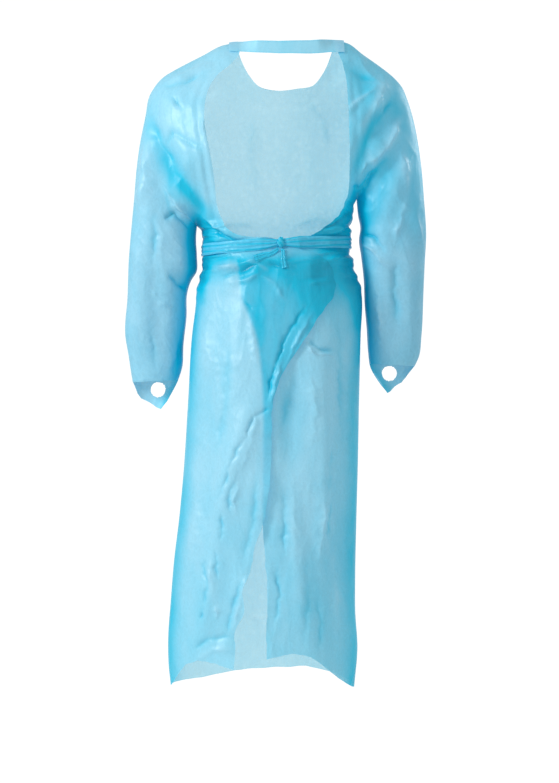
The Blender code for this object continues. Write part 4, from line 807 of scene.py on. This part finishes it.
def film_tone_and_shade(x, z, gap, sheet, piece, share, relief):
    """Tone of the film: bunched at the waist, at the outline and under the flap, with painted
    shade and highlight.

    Troughs add painted shade in proportion to their depth and ridges take painted highlight in
    proportion to their height, both held to RELIEF_MOST; the outline adds e to the minus (gap over
    its width), where the film is seen edge-on, and painted shade lies along the inner and side
    lines. The film above the waist and near the hem is deeper in tone; painted shade deepens the
    right side, away from the key light, and the armpits, and reaches further below the tie on the
    right; the sweeps add painted shade and painted highlight.
    """
    drop = z - look_up(TIE_LINE, x)
    side = ease((np.abs(x - WAIST_MIDDLE) - 0.045) / 0.075)
    right = ease((x - WAIST_MIDDLE + 0.02) / 0.12)
    # Bunched film at the waist; on the right side its deeper tone reaches further below the tie as
    # painted shade.
    reach = 0.060 + 0.062 * right * ease(-drop / 0.02)
    waist = (0.50 + 0.50 * side) * bell(drop, reach, 3) * share
    # Painted shade on the right side, away from the key light; deeper tone above the waist and
    # towards the hem.
    right_shade_and_tone = (1.0 - below(z, "chest_foot")) * (0.07 + 0.25 * right)
    right_shade_and_tone = 0.01 + right_shade_and_tone + 0.10 * right + 0.17 * below(z, "low_skirt")
    # Painted shade by both armpits.
    armpit_shade = 0.12 * bell(np.abs(x + 0.003) - 0.160, 0.040) * bell(z + 0.235, 0.070)
    # Painted shade in troughs and painted highlight on ridges.
    crease_shade_and_highlight = (TROUGH_SHADE * np.clip(-relief, 0.0, RELIEF_MOST)
              - RIDGE_HIGHLIGHT * np.clip(relief, 0.0, RELIEF_MOST))
    # Deeper tone at the outline, where the film is seen edge-on, and painted shade along the
    # sleeves' inner sides and the body's sides.
    sunk = gap_to_lines(x, z, [LINES[half][name] for half in SIDES for name in ("inner", "side")])
    rim_and_side_shade = 0.22 * bell(gap, 0.007, 1) + 0.70 * bell(sunk, 0.018)
    # Sweeps of painted shade and painted highlight on the back's sheets.
    painted_sweeps = 0.0 if sheet == "front" else shade_and_highlight_tone(x, z)
    double = 0.0
    if piece == "back_left":
        edge = across_at(LINES["right"]["flap_edge"], z)
        double = DOUBLE_TONE * ease((x - edge + 0.004) / 0.010) * below(z, "double")
        double = double * (1.0 - 0.45 * below(z, "double_fade"))
    return np.clip(waist + right_shade_and_tone + armpit_shade + crease_shade_and_highlight + rim_and_side_shade + double + painted_sweeps, 0.0, 1.7)


def film_points(layout, piece, crease_size, sheet="back"):
    """Points in space of a layout, the height that is raised on them, and their tone with its
    painted shade and highlight.
    """
    x = layout[..., 0]
    z = layout[..., 1]
    gap = gap_to_lines(x, z, OUTLINE)
    share = body_share(x, z, not piece.startswith("sleeve"))
    base = np.stack([x, base_sheet(x, z, gap, sheet, share), z], axis=-1)
    large = fold_height(x, z, sheet) + share * waist_height(x, z, sheet) * below(z, "waist")
    if piece.startswith("back"):
        large = large + flap_lift(x, z, piece.split("_")[1])
    free = 1.0 - under_strap(x, z, sheet)
    creases = crease_height(x, z, sheet, piece) * ease(gap / 0.010) * free
    fine = film_crumple(x, z, gap, sheet, share) * free
    height = large * ease(gap / OUTLINE_FADE) + crease_size * (creases + fine)
    relief = creases + 0.25 * fine + 0.15 * large
    return base, height, film_tone_and_shade(x, z, gap, sheet, piece, share, relief)


def grid_faces(rows, columns, wrap):
    """Quads of a grid as point numbers, in an array of rows and columns of faces."""
    number = np.arange(rows * columns).reshape(rows, columns)
    right = np.roll(number, -1, axis=1) if wrap else number[:, 1:]
    left = number if wrap else number[:, :-1]
    return np.stack([left[:-1], left[1:], right[1:], right[:-1]], axis=-1)


class Film:
    """One film panel: points in rows, the height raised on them, its tone with painted shade and
    highlight, and its faces.
    """

    def __init__(self, name, base, height, density, wrap=False, flip=False, keep=None):
        rows, columns = base.shape[:2]
        self.name = name
        self.rows = rows
        self.points = base.reshape(-1, 3)
        self.height = height.reshape(-1)
        self.density = density.reshape(-1)
        steps = np.linspace(0, 1, columns), np.linspace(0, 1, rows)
        self.place = np.stack(np.meshgrid(*steps), axis=-1).reshape(-1, 2)
        faces = grid_faces(rows, columns, wrap)
        faces = faces.reshape(-1, 4) if keep is None else faces[keep]
        self.faces = faces[:, ::-1] if flip else faces
        self.normals = np.zeros(self.points.shape)
        self.apart = np.zeros(len(self.points))
        if name.startswith("sleeve"):
            for x, z in UNDERARM.values():
                self.apart += np.hypot(self.points[:, 0] - x, self.points[:, 2] - z) < 1e-4


def share_normals(films):
    """Point normals, summed over every panel that meets at a point, so that seams agree."""
    places = np.concatenate([np.column_stack((np.round(f.points, 5), f.apart)) for f in films])
    total = np.zeros((len(places), 3))
    start = 0
    for film in films:
        first = film.points[film.faces[:, 2]] - film.points[film.faces[:, 0]]
        second = film.points[film.faces[:, 3]] - film.points[film.faces[:, 1]]
        for corner in range(4):
            np.add.at(total, start + film.faces[:, corner], np.cross(first, second))
        start += len(film.points)
    group = np.unique(places, axis=0, return_inverse=True)[1].reshape(-1)
    summed = np.zeros((group.max() + 1, 3))
    np.add.at(summed, group, total)
    normals = summed[group]
    normals /= np.maximum(np.linalg.norm(normals, axis=1), 1e-12)[:, None]
    start = 0
    for film in films:
        film.normals = normals[start:start + len(film.points)]
        start += len(film.points)


def pinch(points):
    """Uneven outline of the body at the waist: x moves by noise below the underarms."""
    x = points[..., 0]
    z = points[..., 2]
    edge = ease((np.abs(x - WAIST_MIDDLE) - 0.085) / 0.045) * (np.abs(x) < 0.17)
    top = np.where(x < 0.0, UNDERARM["left"][1], UNDERARM["right"][1])
    near = bell(z - look_up(TIE_LINE, x), 0.075, 4) * ease((top - z) / 0.012)
    half = 3.0 * (x > 0.0)
    noise = (0.0034 * lattice_noise(z / 0.013, half, SEEDS["pinch"])
             + 0.0020 * lattice_noise(z / 0.0065, half, SEEDS["pinch"] + 1)
             + 0.0018 * np.sin(300.0 * z + 3.0 * np.sin(25.0 * z)))
    points[..., 0] += np.sign(x) * noise * edge * near


def body_films(crease_size):
    """Front, both backs and both sleeves, with all their creases raised along shared normals."""
    films = [Film("front", *film_points(front_layout(), "front", crease_size, "front"),
                  flip=True)]
    for side in SIDES:
        layout, corner = back_layout(side)
        keep = np.ones((layout.shape[0] - 1, layout.shape[1] - 1), bool)
        keep[:corner, RIDGE_STEPS * FINER:] = False
        films.append(Film("back_" + side, *film_points(layout, "back_" + side, crease_size),
                          flip=(side == "right"), keep=keep))
    for side in SIDES:
        name = "sleeve_" + side
        layers = [film_points(layer, name, crease_size, sheet)
                  for layer, sheet in zip(sleeve_layout(side), ("back", "front"))]
        joined = [np.concatenate([b, f[:, -2:0:-1]], axis=1) for b, f in zip(*layers)]
        films.append(Film(name, *joined, wrap=True, flip=(side == "right")))
    share_normals(films)
    for film in films:
        film.points = film.points + film.normals * film.height[:, None]
        if not film.name.startswith("sleeve"):
            pinch(film.points)
    share_normals(films)
    return films


def punch_thumb_hole(film, side, width):
    """Open the thumb hole in the front layer: faces inside it go, points near it move onto it."""
    centre = np.array(THUMB_HOLE[side])
    middle_plane = SLEEVE_DRIFT * float(below(centre[1], "sleeve_drift"))
    middles = film.points[film.faces].mean(axis=1)
    in_circle = np.linalg.norm(middles[:, [0, 2]] - centre, axis=1) < 0.5 * width
    film.faces = film.faces[~(in_circle & (middles[:, 1] > middle_plane))]
    offset = film.points[:, [0, 2]] - centre
    distance = np.linalg.norm(offset, axis=1)
    near = (distance < 0.5 * width) & (film.points[:, 1] > middle_plane)
    moved = centre + offset * (0.5 * width / np.maximum(distance, 1e-6))[:, None]
    film.points[near, 0] = moved[near, 0]
    film.points[near, 2] = moved[near, 1]


def solids_of(name):
    """Names of the solids that a film stands for: each length of a panel, or the piece's own."""
    lengths = LENGTHS.get(name.split("_")[0], ())
    return [name + "_" + part for part in lengths] or [name]


def mesh_object(name, points, faces, material):
    """Smooth mesh object of one material at the origin, in the scene."""
    mesh = bpy.data.meshes.new(name)
    mesh.from_pydata(points.tolist(), [], faces.tolist())
    mesh.validate()
    mesh.shade_smooth()
    mesh.materials.append(material)
    item = bpy.data.objects.new(name, mesh)
    bpy.context.scene.collection.objects.link(item)
    return item


def grid_object(film, material):
    """Mesh object of a film: its used points and faces, with its tone, painted shade and
    highlight, and its place on them.
    """
    used, number = np.unique(film.faces, return_inverse=True)
    item = mesh_object(film.name + "_film", film.points[used], number.reshape(film.faces.shape),
                       material)
    mesh = item.data
    # The film's tone on each point, with its painted shade and painted highlight.
    tone = mesh.attributes.new("layering", "FLOAT", "POINT")
    tone.data.foreach_set("value", film.density[used].astype(np.float32))
    layer = mesh.uv_layers.new(name="place")
    loops = np.zeros(len(mesh.loops), np.int32)
    mesh.loops.foreach_get("vertex_index", loops)
    layer.data.foreach_set("uv", film.place[used][loops].astype(np.float32).ravel())
    mesh.normals_split_custom_set_from_vertices(film.normals[used].tolist())
    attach(item, "root")
    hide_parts(*solids_of(film.name))
    return item


def outermost(films, x, z):
    """Least y of the back films within reach of each point of the front view."""
    points = np.concatenate([f.points for f in films if f.name.startswith("back")])
    for axis, place in ((0, x), (2, z)):
        points = points[(points[:, axis] > place.min() - SEAT_REACH)
                        & (points[:, axis] < place.max() + SEAT_REACH)]
    gap = np.hypot(x[..., None] - points[:, 0], z[..., None] - points[:, 2])
    return np.where(gap < SEAT_REACH, points[:, 1], np.inf).min(axis=-1)


def waist_reach(films, angle):
    """How far the panels reach from the waist's middle at each angle: the most of their rows."""
    reach = np.zeros(angle.shape)
    for film in films[:3]:
        grid = film.points.reshape(film.rows, -1, 3)
        across = grid[..., 0] - WAIST_MIDDLE
        drop = np.abs(grid[..., 2] - look_up(TIE_LINE, grid[..., 0]))
        in_band = drop < TIE_HALF_HEIGHT + 0.003
        turn = np.mod(np.arctan2(grid[..., 1], across), 2.0 * np.pi)
        if film.name != "front":
            turn = np.where(turn < 1e-6, 2.0 * np.pi, turn)
        radius = np.hypot(across, grid[..., 1]) * in_band
        for row in np.flatnonzero(in_band.any(axis=1)):
            order = np.argsort(turn[row])
            found = np.interp(np.mod(angle, 2.0 * np.pi), turn[row][order], radius[row][order],
                              left=0.0, right=0.0)
            reach = np.maximum(reach, found)
    return reach


def stretch_round(reach, angle):
    """Pull a level loop taut: where it sinks below the chord of its neighbours it is lifted."""
    points = reach.copy()
    turned = np.stack([np.cos(angle), np.sin(angle)], axis=-1)
    for _ in range(400):
        ends = points[:, None] * turned
        before, after = ends[:-2], ends[2:]
        step = after - before
        cross = before[:, 0] * after[:, 1] - before[:, 1] * after[:, 0]
        chord = cross / (turned[1:-1, 0] * step[:, 1] - turned[1:-1, 1] * step[:, 0])
        points[1:-1] = np.maximum(points[1:-1], chord)
    return points


def pleats(across, place, count, seed):
    """Height of lengthwise pleats: count waves across the strip that wander along it."""
    wander = 0.35 * lattice_noise(place * 9.0, 0.0, seed)
    waves = 0.5 - 0.5 * np.cos(np.pi * count * (across + 1.0) + 2.4 * wander)
    small = lattice_noise(across * 2.6 + 4.0, place * 36.0, seed + 1)
    return np.maximum(waves * (0.75 + 0.35 * wander) + 0.22 * small, 0.0)


def tie_film(films, side, pleat_height):
    """One half of the tie: reach(angle) from the waist's middle, pulled taut, plus pleats."""
    sign = SIDES[side]
    seam = math.pi if side == "left" else 2.0 * math.pi
    end = math.atan2(-BACK_DEPTH, KNOT[0] + sign * KNOT_HALF[0] * 0.6 - WAIST_MIDDLE)
    angle = np.linspace(seam + sign * TIE_START, 2.0 * math.pi + end, STRIP_STEPS + 1)
    place = np.linspace(0.0, 1.0, STRIP_STEPS + 1)[:, None]
    across = np.linspace(1.0, -1.0, STRIP_ACROSS + 1)[None]
    half = TIE_HALF_HEIGHT * (1.0 - 0.42 * ease((place - 0.80) / 0.20))
    half = half * (1.0 + 0.06 * lattice_noise(place * 7.0, 0.0, SEEDS["tie"]))
    reach = stretch_round(waist_reach(films, angle), angle) + SEAT_GAP
    z = look_up(TIE_LINE, WAIST_MIDDLE + reach * np.cos(angle))[:, None] + half * across
    rise = pleat_height * pleats(across, place, 3.0, SEEDS["tie_pleats"])
    away = reach[:, None] + rise * (0.55 + 0.45 * (1.0 - across ** 6))
    angle = angle[:, None]
    points = np.stack([WAIST_MIDDLE + away * np.cos(angle), away * np.sin(angle), z], axis=-1)
    density = 0.45 + 0.55 * np.clip(-np.sin(7.0 * across + 5.0 * place), 0.0, 1.0)
    return Film("tie_" + side, points, 0.0 * z, density)


def tie_end_film(films, side, pleat_height):
    """One free end of the tie: a folded strip, half width by half width across its line."""
    rows = TIE_ENDS[side]
    place = np.linspace(0.0, 1.0, TIE_END_STEPS + 1)
    middle = along(smooth_line(rows[:, :2]), place)
    half = np.interp(place, np.linspace(0.0, 1.0, len(rows)), rows[:, 2])
    half = half * (1.0 + 0.10 * lattice_noise(place * 6.0, 0.0, SEEDS["tie_end"]))
    step = np.gradient(middle, axis=0)
    square = np.stack([-step[:, 1], step[:, 0]], axis=-1)
    square /= np.linalg.norm(square, axis=1)[:, None]
    across = np.linspace(-1.0, 1.0, STRIP_ACROSS + 1)
    grid = middle[:, None] + square[:, None] * half[:, None, None] * across[None, :, None]
    grid[-1, :, 1] += 0.0010 * lattice_noise(across * 5.0, 0.0, SEEDS["tie_tip"])
    under = outermost(films, grid[..., 0], grid[..., 1]).min(axis=1)
    smooth = np.convolve(np.pad(under, 4, mode="edge"), np.ones(9) / 9.0, mode="valid")
    place = place[:, None]
    rise = pleat_height * pleats(across[None], place, 2.0, SEEDS["end_pleats"])
    y = (np.minimum(under, smooth) - SEAT_GAP)[:, None] - rise
    points = np.stack([grid[..., 0], y, grid[..., 1]], axis=-1)
    density = 0.50 + 0.50 * np.abs(np.sin(6.0 * across[None] + 4.0 * place))
    return Film("tie_end_" + side, points, 0.0 * y, density)


def knot_film(films, squeeze):
    """Knot: half sizes times (sin v cos u, sin v sin u, cos v), pinched by turns of the strip.

    The turns are dents 1 minus squeeze times (half plus half cos(3 u + 5 cos v)), with a finer
    set.
    """
    u, v = np.meshgrid(np.linspace(0.0, 2.0 * np.pi, 97)[:-1],
                       np.linspace(0.02, np.pi - 0.02, 49))
    turns = 0.5 + 0.5 * np.cos(3.0 * u + 5.0 * np.cos(v))
    small = lattice_noise(4.0 * np.cos(v) + 9.0, 3.0 * np.sin(u) + 9.0, SEEDS["knot"])
    size = 1.0 - squeeze * turns ** 2 - 0.05 * small
    x = KNOT[0] + KNOT_HALF[0] * np.sin(v) * np.cos(u) * size
    z = KNOT[1] + KNOT_HALF[2] * np.cos(v) * size
    y = KNOT_HALF[1] * np.sin(v) * np.sin(u) * size
    y = y + (outermost(films, x, z) - SEAT_GAP - y).min()
    # The tone deepens in the strip's turns, painted shade in the knot's dents.
    return Film("tie_knot", np.stack([x, y, z], axis=-1), 0.0 * x, 0.65 + 0.35 * turns, wrap=True)


def strap_film():
    """Neck strap: welded on both flaps, and bowed out behind the neck between them."""
    (left, _), (right, _) = NECK["left"], NECK["right"]
    x = np.linspace(STRAP[0, 0], STRAP[-1, 0], STRIP_STEPS + 1)[:, None]
    across = np.linspace(1.0, -1.0, STRIP_ACROSS + 1)[None]
    z = look_up(STRAP, x) + look_up(STRAP, x, 2) * across
    x = x + 0.0 * z
    ridge = np.where(x < 0.0, np.interp(x, *LINES["left"]["outer"][::-1].T),
                     np.interp(x, *LINES["right"]["outer"].T))
    z = np.where((x < left) | (x > right), np.minimum(z, ridge - 0.0012), z)
    free = ease((x - left - 0.006) / STRAP_FREE) * ease((right + 0.002 - x) / STRAP_FREE)
    bow = STRAP_BACK + STRAP_BOW * np.sin(np.pi * np.clip((x - left) / (right - left), 0.0, 1.0))
    span = -bow - 0.16 * (look_up(STRAP, x) - z)
    seat = base_sheet(x, z, gap_to_lines(x, z, OUTLINE), "back", body_share(x, z, True))
    y = (1.0 - free) * seat + free * span
    lengthwise = crumple(1.3 * z + 0.3, 0.22 * x, "sleeve") + 0.5 * crumple(z, 0.5 * x, "waist")
    place = (x - x.min()) / (x.max() - x.min())
    # Strap's tone: deeper along its edges, painted shade in its crumple's troughs, and painted
    # light lifting the shade at its right end.
    density = (0.10 + 0.35 * np.abs(across) ** 8 + 60.0 * np.clip(-lengthwise, 0.0, 0.006)
               - 0.25 * ease((place - 0.90) / 0.05))
    film = Film("neck_strap", np.stack([x, y, z], axis=-1), 0.0 * x, np.clip(density, 0.0, 1.0))
    facing(film, np.array([0.0, -1.0, 0.3]))
    rise = STRAP_LIFT + 0.55 * lengthwise * (0.35 + 0.65 * free)
    film.points = film.points + film.normals * rise.reshape(-1)[:, None]
    return film


def facing(film, outward):
    """Turn a strip's faces so that its normals agree with the outward directions."""
    share_normals([film])
    if (film.normals * outward).sum() < 0.0:
        film.faces = film.faces[:, ::-1]
        share_normals([film])
    return film


def fill(tree, node, inputs):
    """Give a node's inputs plain values, or links where a value is another node's output."""
    for name, value in dict(inputs).items():
        if isinstance(value, bpy.types.NodeSocket):
            tree.links.new(value, node.inputs[name])
        else:
            node.inputs[name].default_value = value
    return node


def add_node(tree, kind, inputs=(), **settings):
    """New shader node with its settings and inputs; its outputs by name or number."""
    node = tree.nodes.new("ShaderNode" + kind)
    for name, value in settings.items():
        setattr(node, name, value)
    return fill(tree, node, inputs).outputs


def film_group():
    """Node group of the film's grain: fine crumple and emboss for the bump; tone, painted shade
    and highlight into colour; and cover.

    The crumple is ridged noise, (1 minus 2.6 times the noise's distance from one half) squared.
    """
    group = bpy.data.node_groups.new("Gown film", "ShaderNodeTree")
    for way, sockets in GROUP_SOCKETS.items():
        for name, kind in sockets:
            group.interface.new_socket(name, in_out=way, socket_type="NodeSocket" + kind)
    given = group.nodes.new("NodeGroupInput").outputs
    where = add_node(group, "TexCoord")["Object"]

    def calculate(operation, *values):
        """One math node with links or plain values on its inputs."""
        return add_node(group, "Math", enumerate(values), operation=operation)[0]

    def total(start, *terms):
        """Start plus each term: its value less its middle, times its weight."""
        for value, middle, weight in terms:
            change = calculate("MULTIPLY", calculate("SUBTRACT", value, middle), weight)
            start = calculate("ADD", start, change)
        return start

    def noise(scale, stretch, detail):
        """Noise stretched along the gown's height."""
        place = add_node(group, "Mapping", {"Scale": (1.0, 0.6, stretch), "Vector": where})
        return add_node(group, "TexNoise", {"Scale": scale, "Detail": detail, "Roughness": 0.52,
                                            "Distortion": 0.35, "Vector": place["Vector"]})["Fac"]

    def ridged(value):
        """One minus 2.6 times the distance from one half, squared."""
        away = calculate("ABSOLUTE", calculate("SUBTRACT", value, 0.5))
        ridge = calculate("SUBTRACT", 1.0, calculate("MULTIPLY", away, 2.6))
        return calculate("POWER", calculate("MAXIMUM", ridge, 0.0), 2.0)

    def blend(share, first, second):
        """Mix of two colours by a share held between 0 and 1."""
        return add_node(group, "Mix", {0: share, 6: first, 7: second}, data_type="RGBA",
                        clamp_factor=True)[2]

    wide = ridged(noise(30.0, 0.45, 2.0))
    tight = ridged(noise(95.0, 0.75, 2.0))
    tone = noise(14.0, 0.45, 4.0)
    emboss = add_node(group, "TexVoronoi", {"Scale": 1100.0, "Vector": where})["Distance"]
    height = total(0.0, (wide, 0.0, 0.00070), (tight, 0.0, 0.00010), (emboss, 0.0, 0.000010))
    # Share of deep film: tone with painted shade and highlight from the surface, random tone, and
    # more along the fine crumple's creases.
    shade = total(given["Density"], (tone, 0.5, 0.55), (wide, 0.4, 0.10))
    colour = blend(shade, given["Light"], given["Deep"])
    cover = total(given["Cover"], (given["Density"], 0.0, 0.14), (tight, 0.4, 0.10))
    # Past a share of 1 the colour runs on to the darkest film colour, the deepest painted shade.
    fill(group, group.nodes.new("NodeGroupOutput"), {
        "Colour": blend(calculate("SUBTRACT", shade, 1.0), colour, (*FILM_DARK, 1.0)),
        "Roughness": total(0.30, (tone, 0.0, 0.16)),
        "Alpha": calculate("MINIMUM", calculate("MAXIMUM", cover, 0.05), 0.98),
        "Height": calculate("MULTIPLY", height, given["Grain"])})
    return group


def new_material(name):
    """Material with nodes, and its node tree."""
    material = bpy.data.materials.new(name)
    material.use_nodes = True
    return material, material.node_tree


def film_material(name, group, light, deep, cover, grain):
    """Translucent film: gloss and colour, light that comes through, and what is behind it."""
    material, tree = new_material(name)
    # Tone of the film, with its painted shade and painted highlight.
    layering = add_node(tree, "Attribute", attribute_name="layering")["Fac"]
    look = add_node(tree, "Group", {"Light": (*light, 1.0), "Deep": (*deep, 1.0),
                                    "Density": layering, "Cover": cover, "Grain": grain},
                    node_tree=group)
    normal = add_node(tree, "Bump", {"Strength": 1.0, "Distance": 1.0,
                                     "Height": look["Height"]})["Normal"]
    shader = fill(tree, tree.nodes["Principled BSDF"], {
        "Base Color": look["Colour"], "Roughness": look["Roughness"], "Normal": normal,
        "Metallic": 0.0, "IOR": 1.45})
    through = add_node(tree, "BsdfTranslucent", {"Color": look["Colour"], "Normal": normal})
    body = add_node(tree, "MixShader", {0: THROUGH_SHARE, 1: shader.outputs[0], 2: through[0]})
    clear = add_node(tree, "BsdfTransparent", {"Color": (*CLEAR_TINT, 1.0)})
    both = add_node(tree, "MixShader", {0: look["Alpha"], 1: clear[0], 2: body[0]})
    fill(tree, tree.nodes["Material Output"], {"Surface": both[0]})
    return material


def floor_ring(radius):
    """Points round the floor's rim: radius times the cosine and sine of the angle."""
    turn = np.linspace(0.0, 2.0 * np.pi, FLOOR_SIDES, endpoint=False)
    return np.stack([radius * np.cos(turn), radius * np.sin(turn), 0.0 * turn + FLOOR_Z], axis=-1)


def studio_world(strength):
    """Even pale light all round, which rises to white behind the gown as the photo sees it."""
    world = bpy.data.worlds.new("studio")
    world.use_nodes = True
    tree = world.node_tree
    split = add_node(tree, "SeparateXYZ", {"Vector": add_node(tree, "TexCoord")["Generated"]})
    limits = {name: value * (strength if name.startswith("To") else 1.0)
              for name, value in WORLD_RISE.items()}
    rise = add_node(tree, "MapRange", {**limits, "Value": split["Y"]},
                    interpolation_type="SMOOTHSTEP")
    fill(tree, tree.nodes["Background"], {"Color": (1.0, 1.0, 1.0, 1.0),
                                          "Strength": rise["Result"]})
    return world


def plain_material(name, colour, roughness):
    """Principled material of one colour."""
    material, tree = new_material(name)
    fill(tree, tree.nodes["Principled BSDF"], {"Base Color": (*colour, 1.0),
                                               "Roughness": roughness})
    return material


def soft_light(name, place, size, power):
    """Square white area light at a place, turned towards the gown's middle."""
    data = bpy.data.lights.new(name, "AREA")
    data.shape = "SQUARE"
    data.size = size
    data.energy = power
    item = bpy.data.objects.new(name, data)
    item.location = place
    item.rotation_euler = (Vector(LAMP_AIM) - Vector(place)).to_track_quat("-Z", "Y").to_euler()
    bpy.context.scene.collection.objects.link(item)
    return item


class GownSettings(bpy.types.PropertyGroup):
    """Sizes and colours of the gown that a user would change."""

    film_light: bpy.props.FloatVectorProperty(
        name="Film", description="Colour of a single layer of film", default=FILM_LIGHT, **COLOUR)
    # The bunched film colour is also the colour of the painted shade.
    film_deep: bpy.props.FloatVectorProperty(
        name="Bunched film and shade", description="Colour where film lies on itself, and of painted shade", default=FILM_DEEP,
        **COLOUR)
    cover: bpy.props.FloatProperty(
        name="Cover", description="How much one layer of film hides what is behind it",
        min=0.1, max=0.95, default=0.84, **SHARE)
    crease_size: bpy.props.FloatProperty(
        name="Crease size", description="Height of creases and crumples against the photograph's",
        min=0.0, max=1.5, default=1.0, **SHARE)
    thumb_hole: bpy.props.FloatProperty(
        name="Thumb hole", description="Width of the thumb holes",
        min=0.015, max=0.032, default=THUMB_HOLE_WIDTH, **SIZE)
    pleat_height: bpy.props.FloatProperty(
        name="Tie pleats", description="Height of the pleats along the waist tie",
        min=0.0003, max=0.003, default=0.0016, **SIZE)
    knot_squeeze: bpy.props.FloatProperty(
        name="Knot turns", description="Depth of the strip's turns in the knot",
        min=0.0, max=0.3, default=0.18, **SHARE)
    light_power: bpy.props.FloatProperty(
        name="Light", description="Strength of the studio lights against the photograph's",
        min=0.2, max=3.0, default=1.0, **SHARE)


MADE = {}


def made_once(name, build, *given):
    """What is built under a name, such as the panels that other pieces lie on."""
    if name not in MADE:
        MADE[name] = build(*given)
    return MADE[name]


class GOWN_OT_panels(bpy.types.Operator):
    """Front, both back flaps and both sleeves, each a sheet of creased film"""

    bl_idname = "gown.panels"
    bl_label = "Film panels"

    def execute(self, context):
        settings = context.scene.gown
        group = made_once("group", film_group)
        light = tuple(settings.film_light)
        deep = tuple(settings.film_deep)
        body = film_material("panel_film", group, light, deep, settings.cover, 1.0)
        single = film_material("front_film", group, light, deep, settings.cover + FRONT_COVER, 1.0)
        arm = film_material("sleeve_film", group, light, deep, settings.cover + SLEEVE_COVER,
                            1.0)
        for film in made_once("films", body_films, settings.crease_size):
            is_sleeve = film.name.startswith("sleeve")
            if is_sleeve:
                punch_thumb_hole(film, film.name.split("_")[1], settings.thumb_hole)
            material = single if film.name == "front" else arm if is_sleeve else body
            item = grid_object(film, material)
        return {"FINISHED"}


class GOWN_OT_tie(bpy.types.Operator):
    """Waist tie: both halves drawn round the panels, the knot and the two free ends"""

    bl_idname = "gown.tie"
    bl_label = "Waist tie"

    def execute(self, context):
        settings = context.scene.gown
        films = made_once("films", body_films, settings.crease_size)
        material = film_material("tie_film", made_once("group", film_group), TIE_LIGHT,
                                 tuple(settings.film_deep), *TIE_FILM)
        knot = facing(knot_film(films, settings.knot_squeeze), np.array([0.0, 0.0, 0.0]))
        knot_item = grid_object(knot, material)
        for side in SIDES:
            half = tie_film(films, side, settings.pleat_height)
            facing(half, half.points * np.array([1.0, 1.0, 0.0]))
            item = grid_object(half, material)
            end = facing(tie_end_film(films, side, 0.8 * settings.pleat_height),
                         np.array([0.0, -1.0, 0.0]))
            item = grid_object(end, material)
        return {"FINISHED"}


class GOWN_OT_strap(bpy.types.Operator):
    """Neck strap, welded to both flaps and bowed behind the neck"""

    bl_idname = "gown.strap"
    bl_label = "Neck strap"

    def execute(self, context):
        settings = context.scene.gown
        material = film_material("strap_film", made_once("group", film_group),
                                 tuple(settings.film_light), tuple(settings.film_deep),
                                 *STRAP_FILM)
        item = grid_object(strap_film(), material)
        return {"FINISHED"}


class GOWN_OT_stage(bpy.types.Operator):
    """Pale round floor, soft studio lights and the camera at the photograph's angle"""

    bl_idname = "gown.stage"
    bl_label = "Stage"

    def execute(self, context):
        scene = context.scene
        power = scene.gown.light_power
        white = plain_material("floor_white", FLOOR_WHITE, FLOOR_ROUGHNESS)
        floor = mesh_object("floor", floor_ring(FLOOR_RADIUS), np.arange(FLOOR_SIDES)[None], white)
        lamps = [soft_light(name, place, size, watts * power)
                 for name, (place, size, watts) in LAMPS.items()]
        camera_data = bpy.data.cameras.new("camera")
        camera_data.sensor_width = SENSOR
        camera_data.lens = SENSOR * CAMERA_DISTANCE / VIEW_HEIGHT
        camera = bpy.data.objects.new("camera", camera_data)
        camera.location = (CAMERA_X, -CAMERA_DISTANCE, CAMERA_Z)
        camera.rotation_euler = (math.radians(90.0), 0.0, 0.0)
        scene.collection.objects.link(camera)
        scene.camera = camera
        scene.world = studio_world(power)
        scene.view_settings.view_transform = "Standard"
        return {"FINISHED"}


class GOWN_PT_panel(bpy.types.Panel):
    """Sidebar panel of the gown"""

    bl_idname = "GOWN_PT_panel"
    bl_label = "Isolation gown"
    bl_space_type = "VIEW_3D"
    bl_region_type = "UI"
    bl_category = "Gown"

    def draw(self, context):
        layout = self.layout
        for name in GownSettings.__annotations__:
            layout.prop(context.scene.gown, name)
        for operator in OPERATORS:
            layout.operator(operator.bl_idname)


OPERATORS = (GOWN_OT_panels, GOWN_OT_tie, GOWN_OT_strap, GOWN_OT_stage)
CLASSES = (GownSettings, *OPERATORS, GOWN_PT_panel)


def register():
    for item in CLASSES:
        bpy.utils.register_class(item)
    bpy.types.Scene.gown = bpy.props.PointerProperty(type=GownSettings)


def unregister():
    del bpy.types.Scene.gown
    for item in reversed(CLASSES):
        bpy.utils.unregister_class(item)


def main():
    """Build every piece and the stage."""
    register()
    for build in (bpy.ops.gown.panels, bpy.ops.gown.tie, bpy.ops.gown.strap, bpy.ops.gown.stage):
        if build() != {"FINISHED"}:
            raise RuntimeError("a piece wasn't built")


if __name__ == "__main__":
    main()
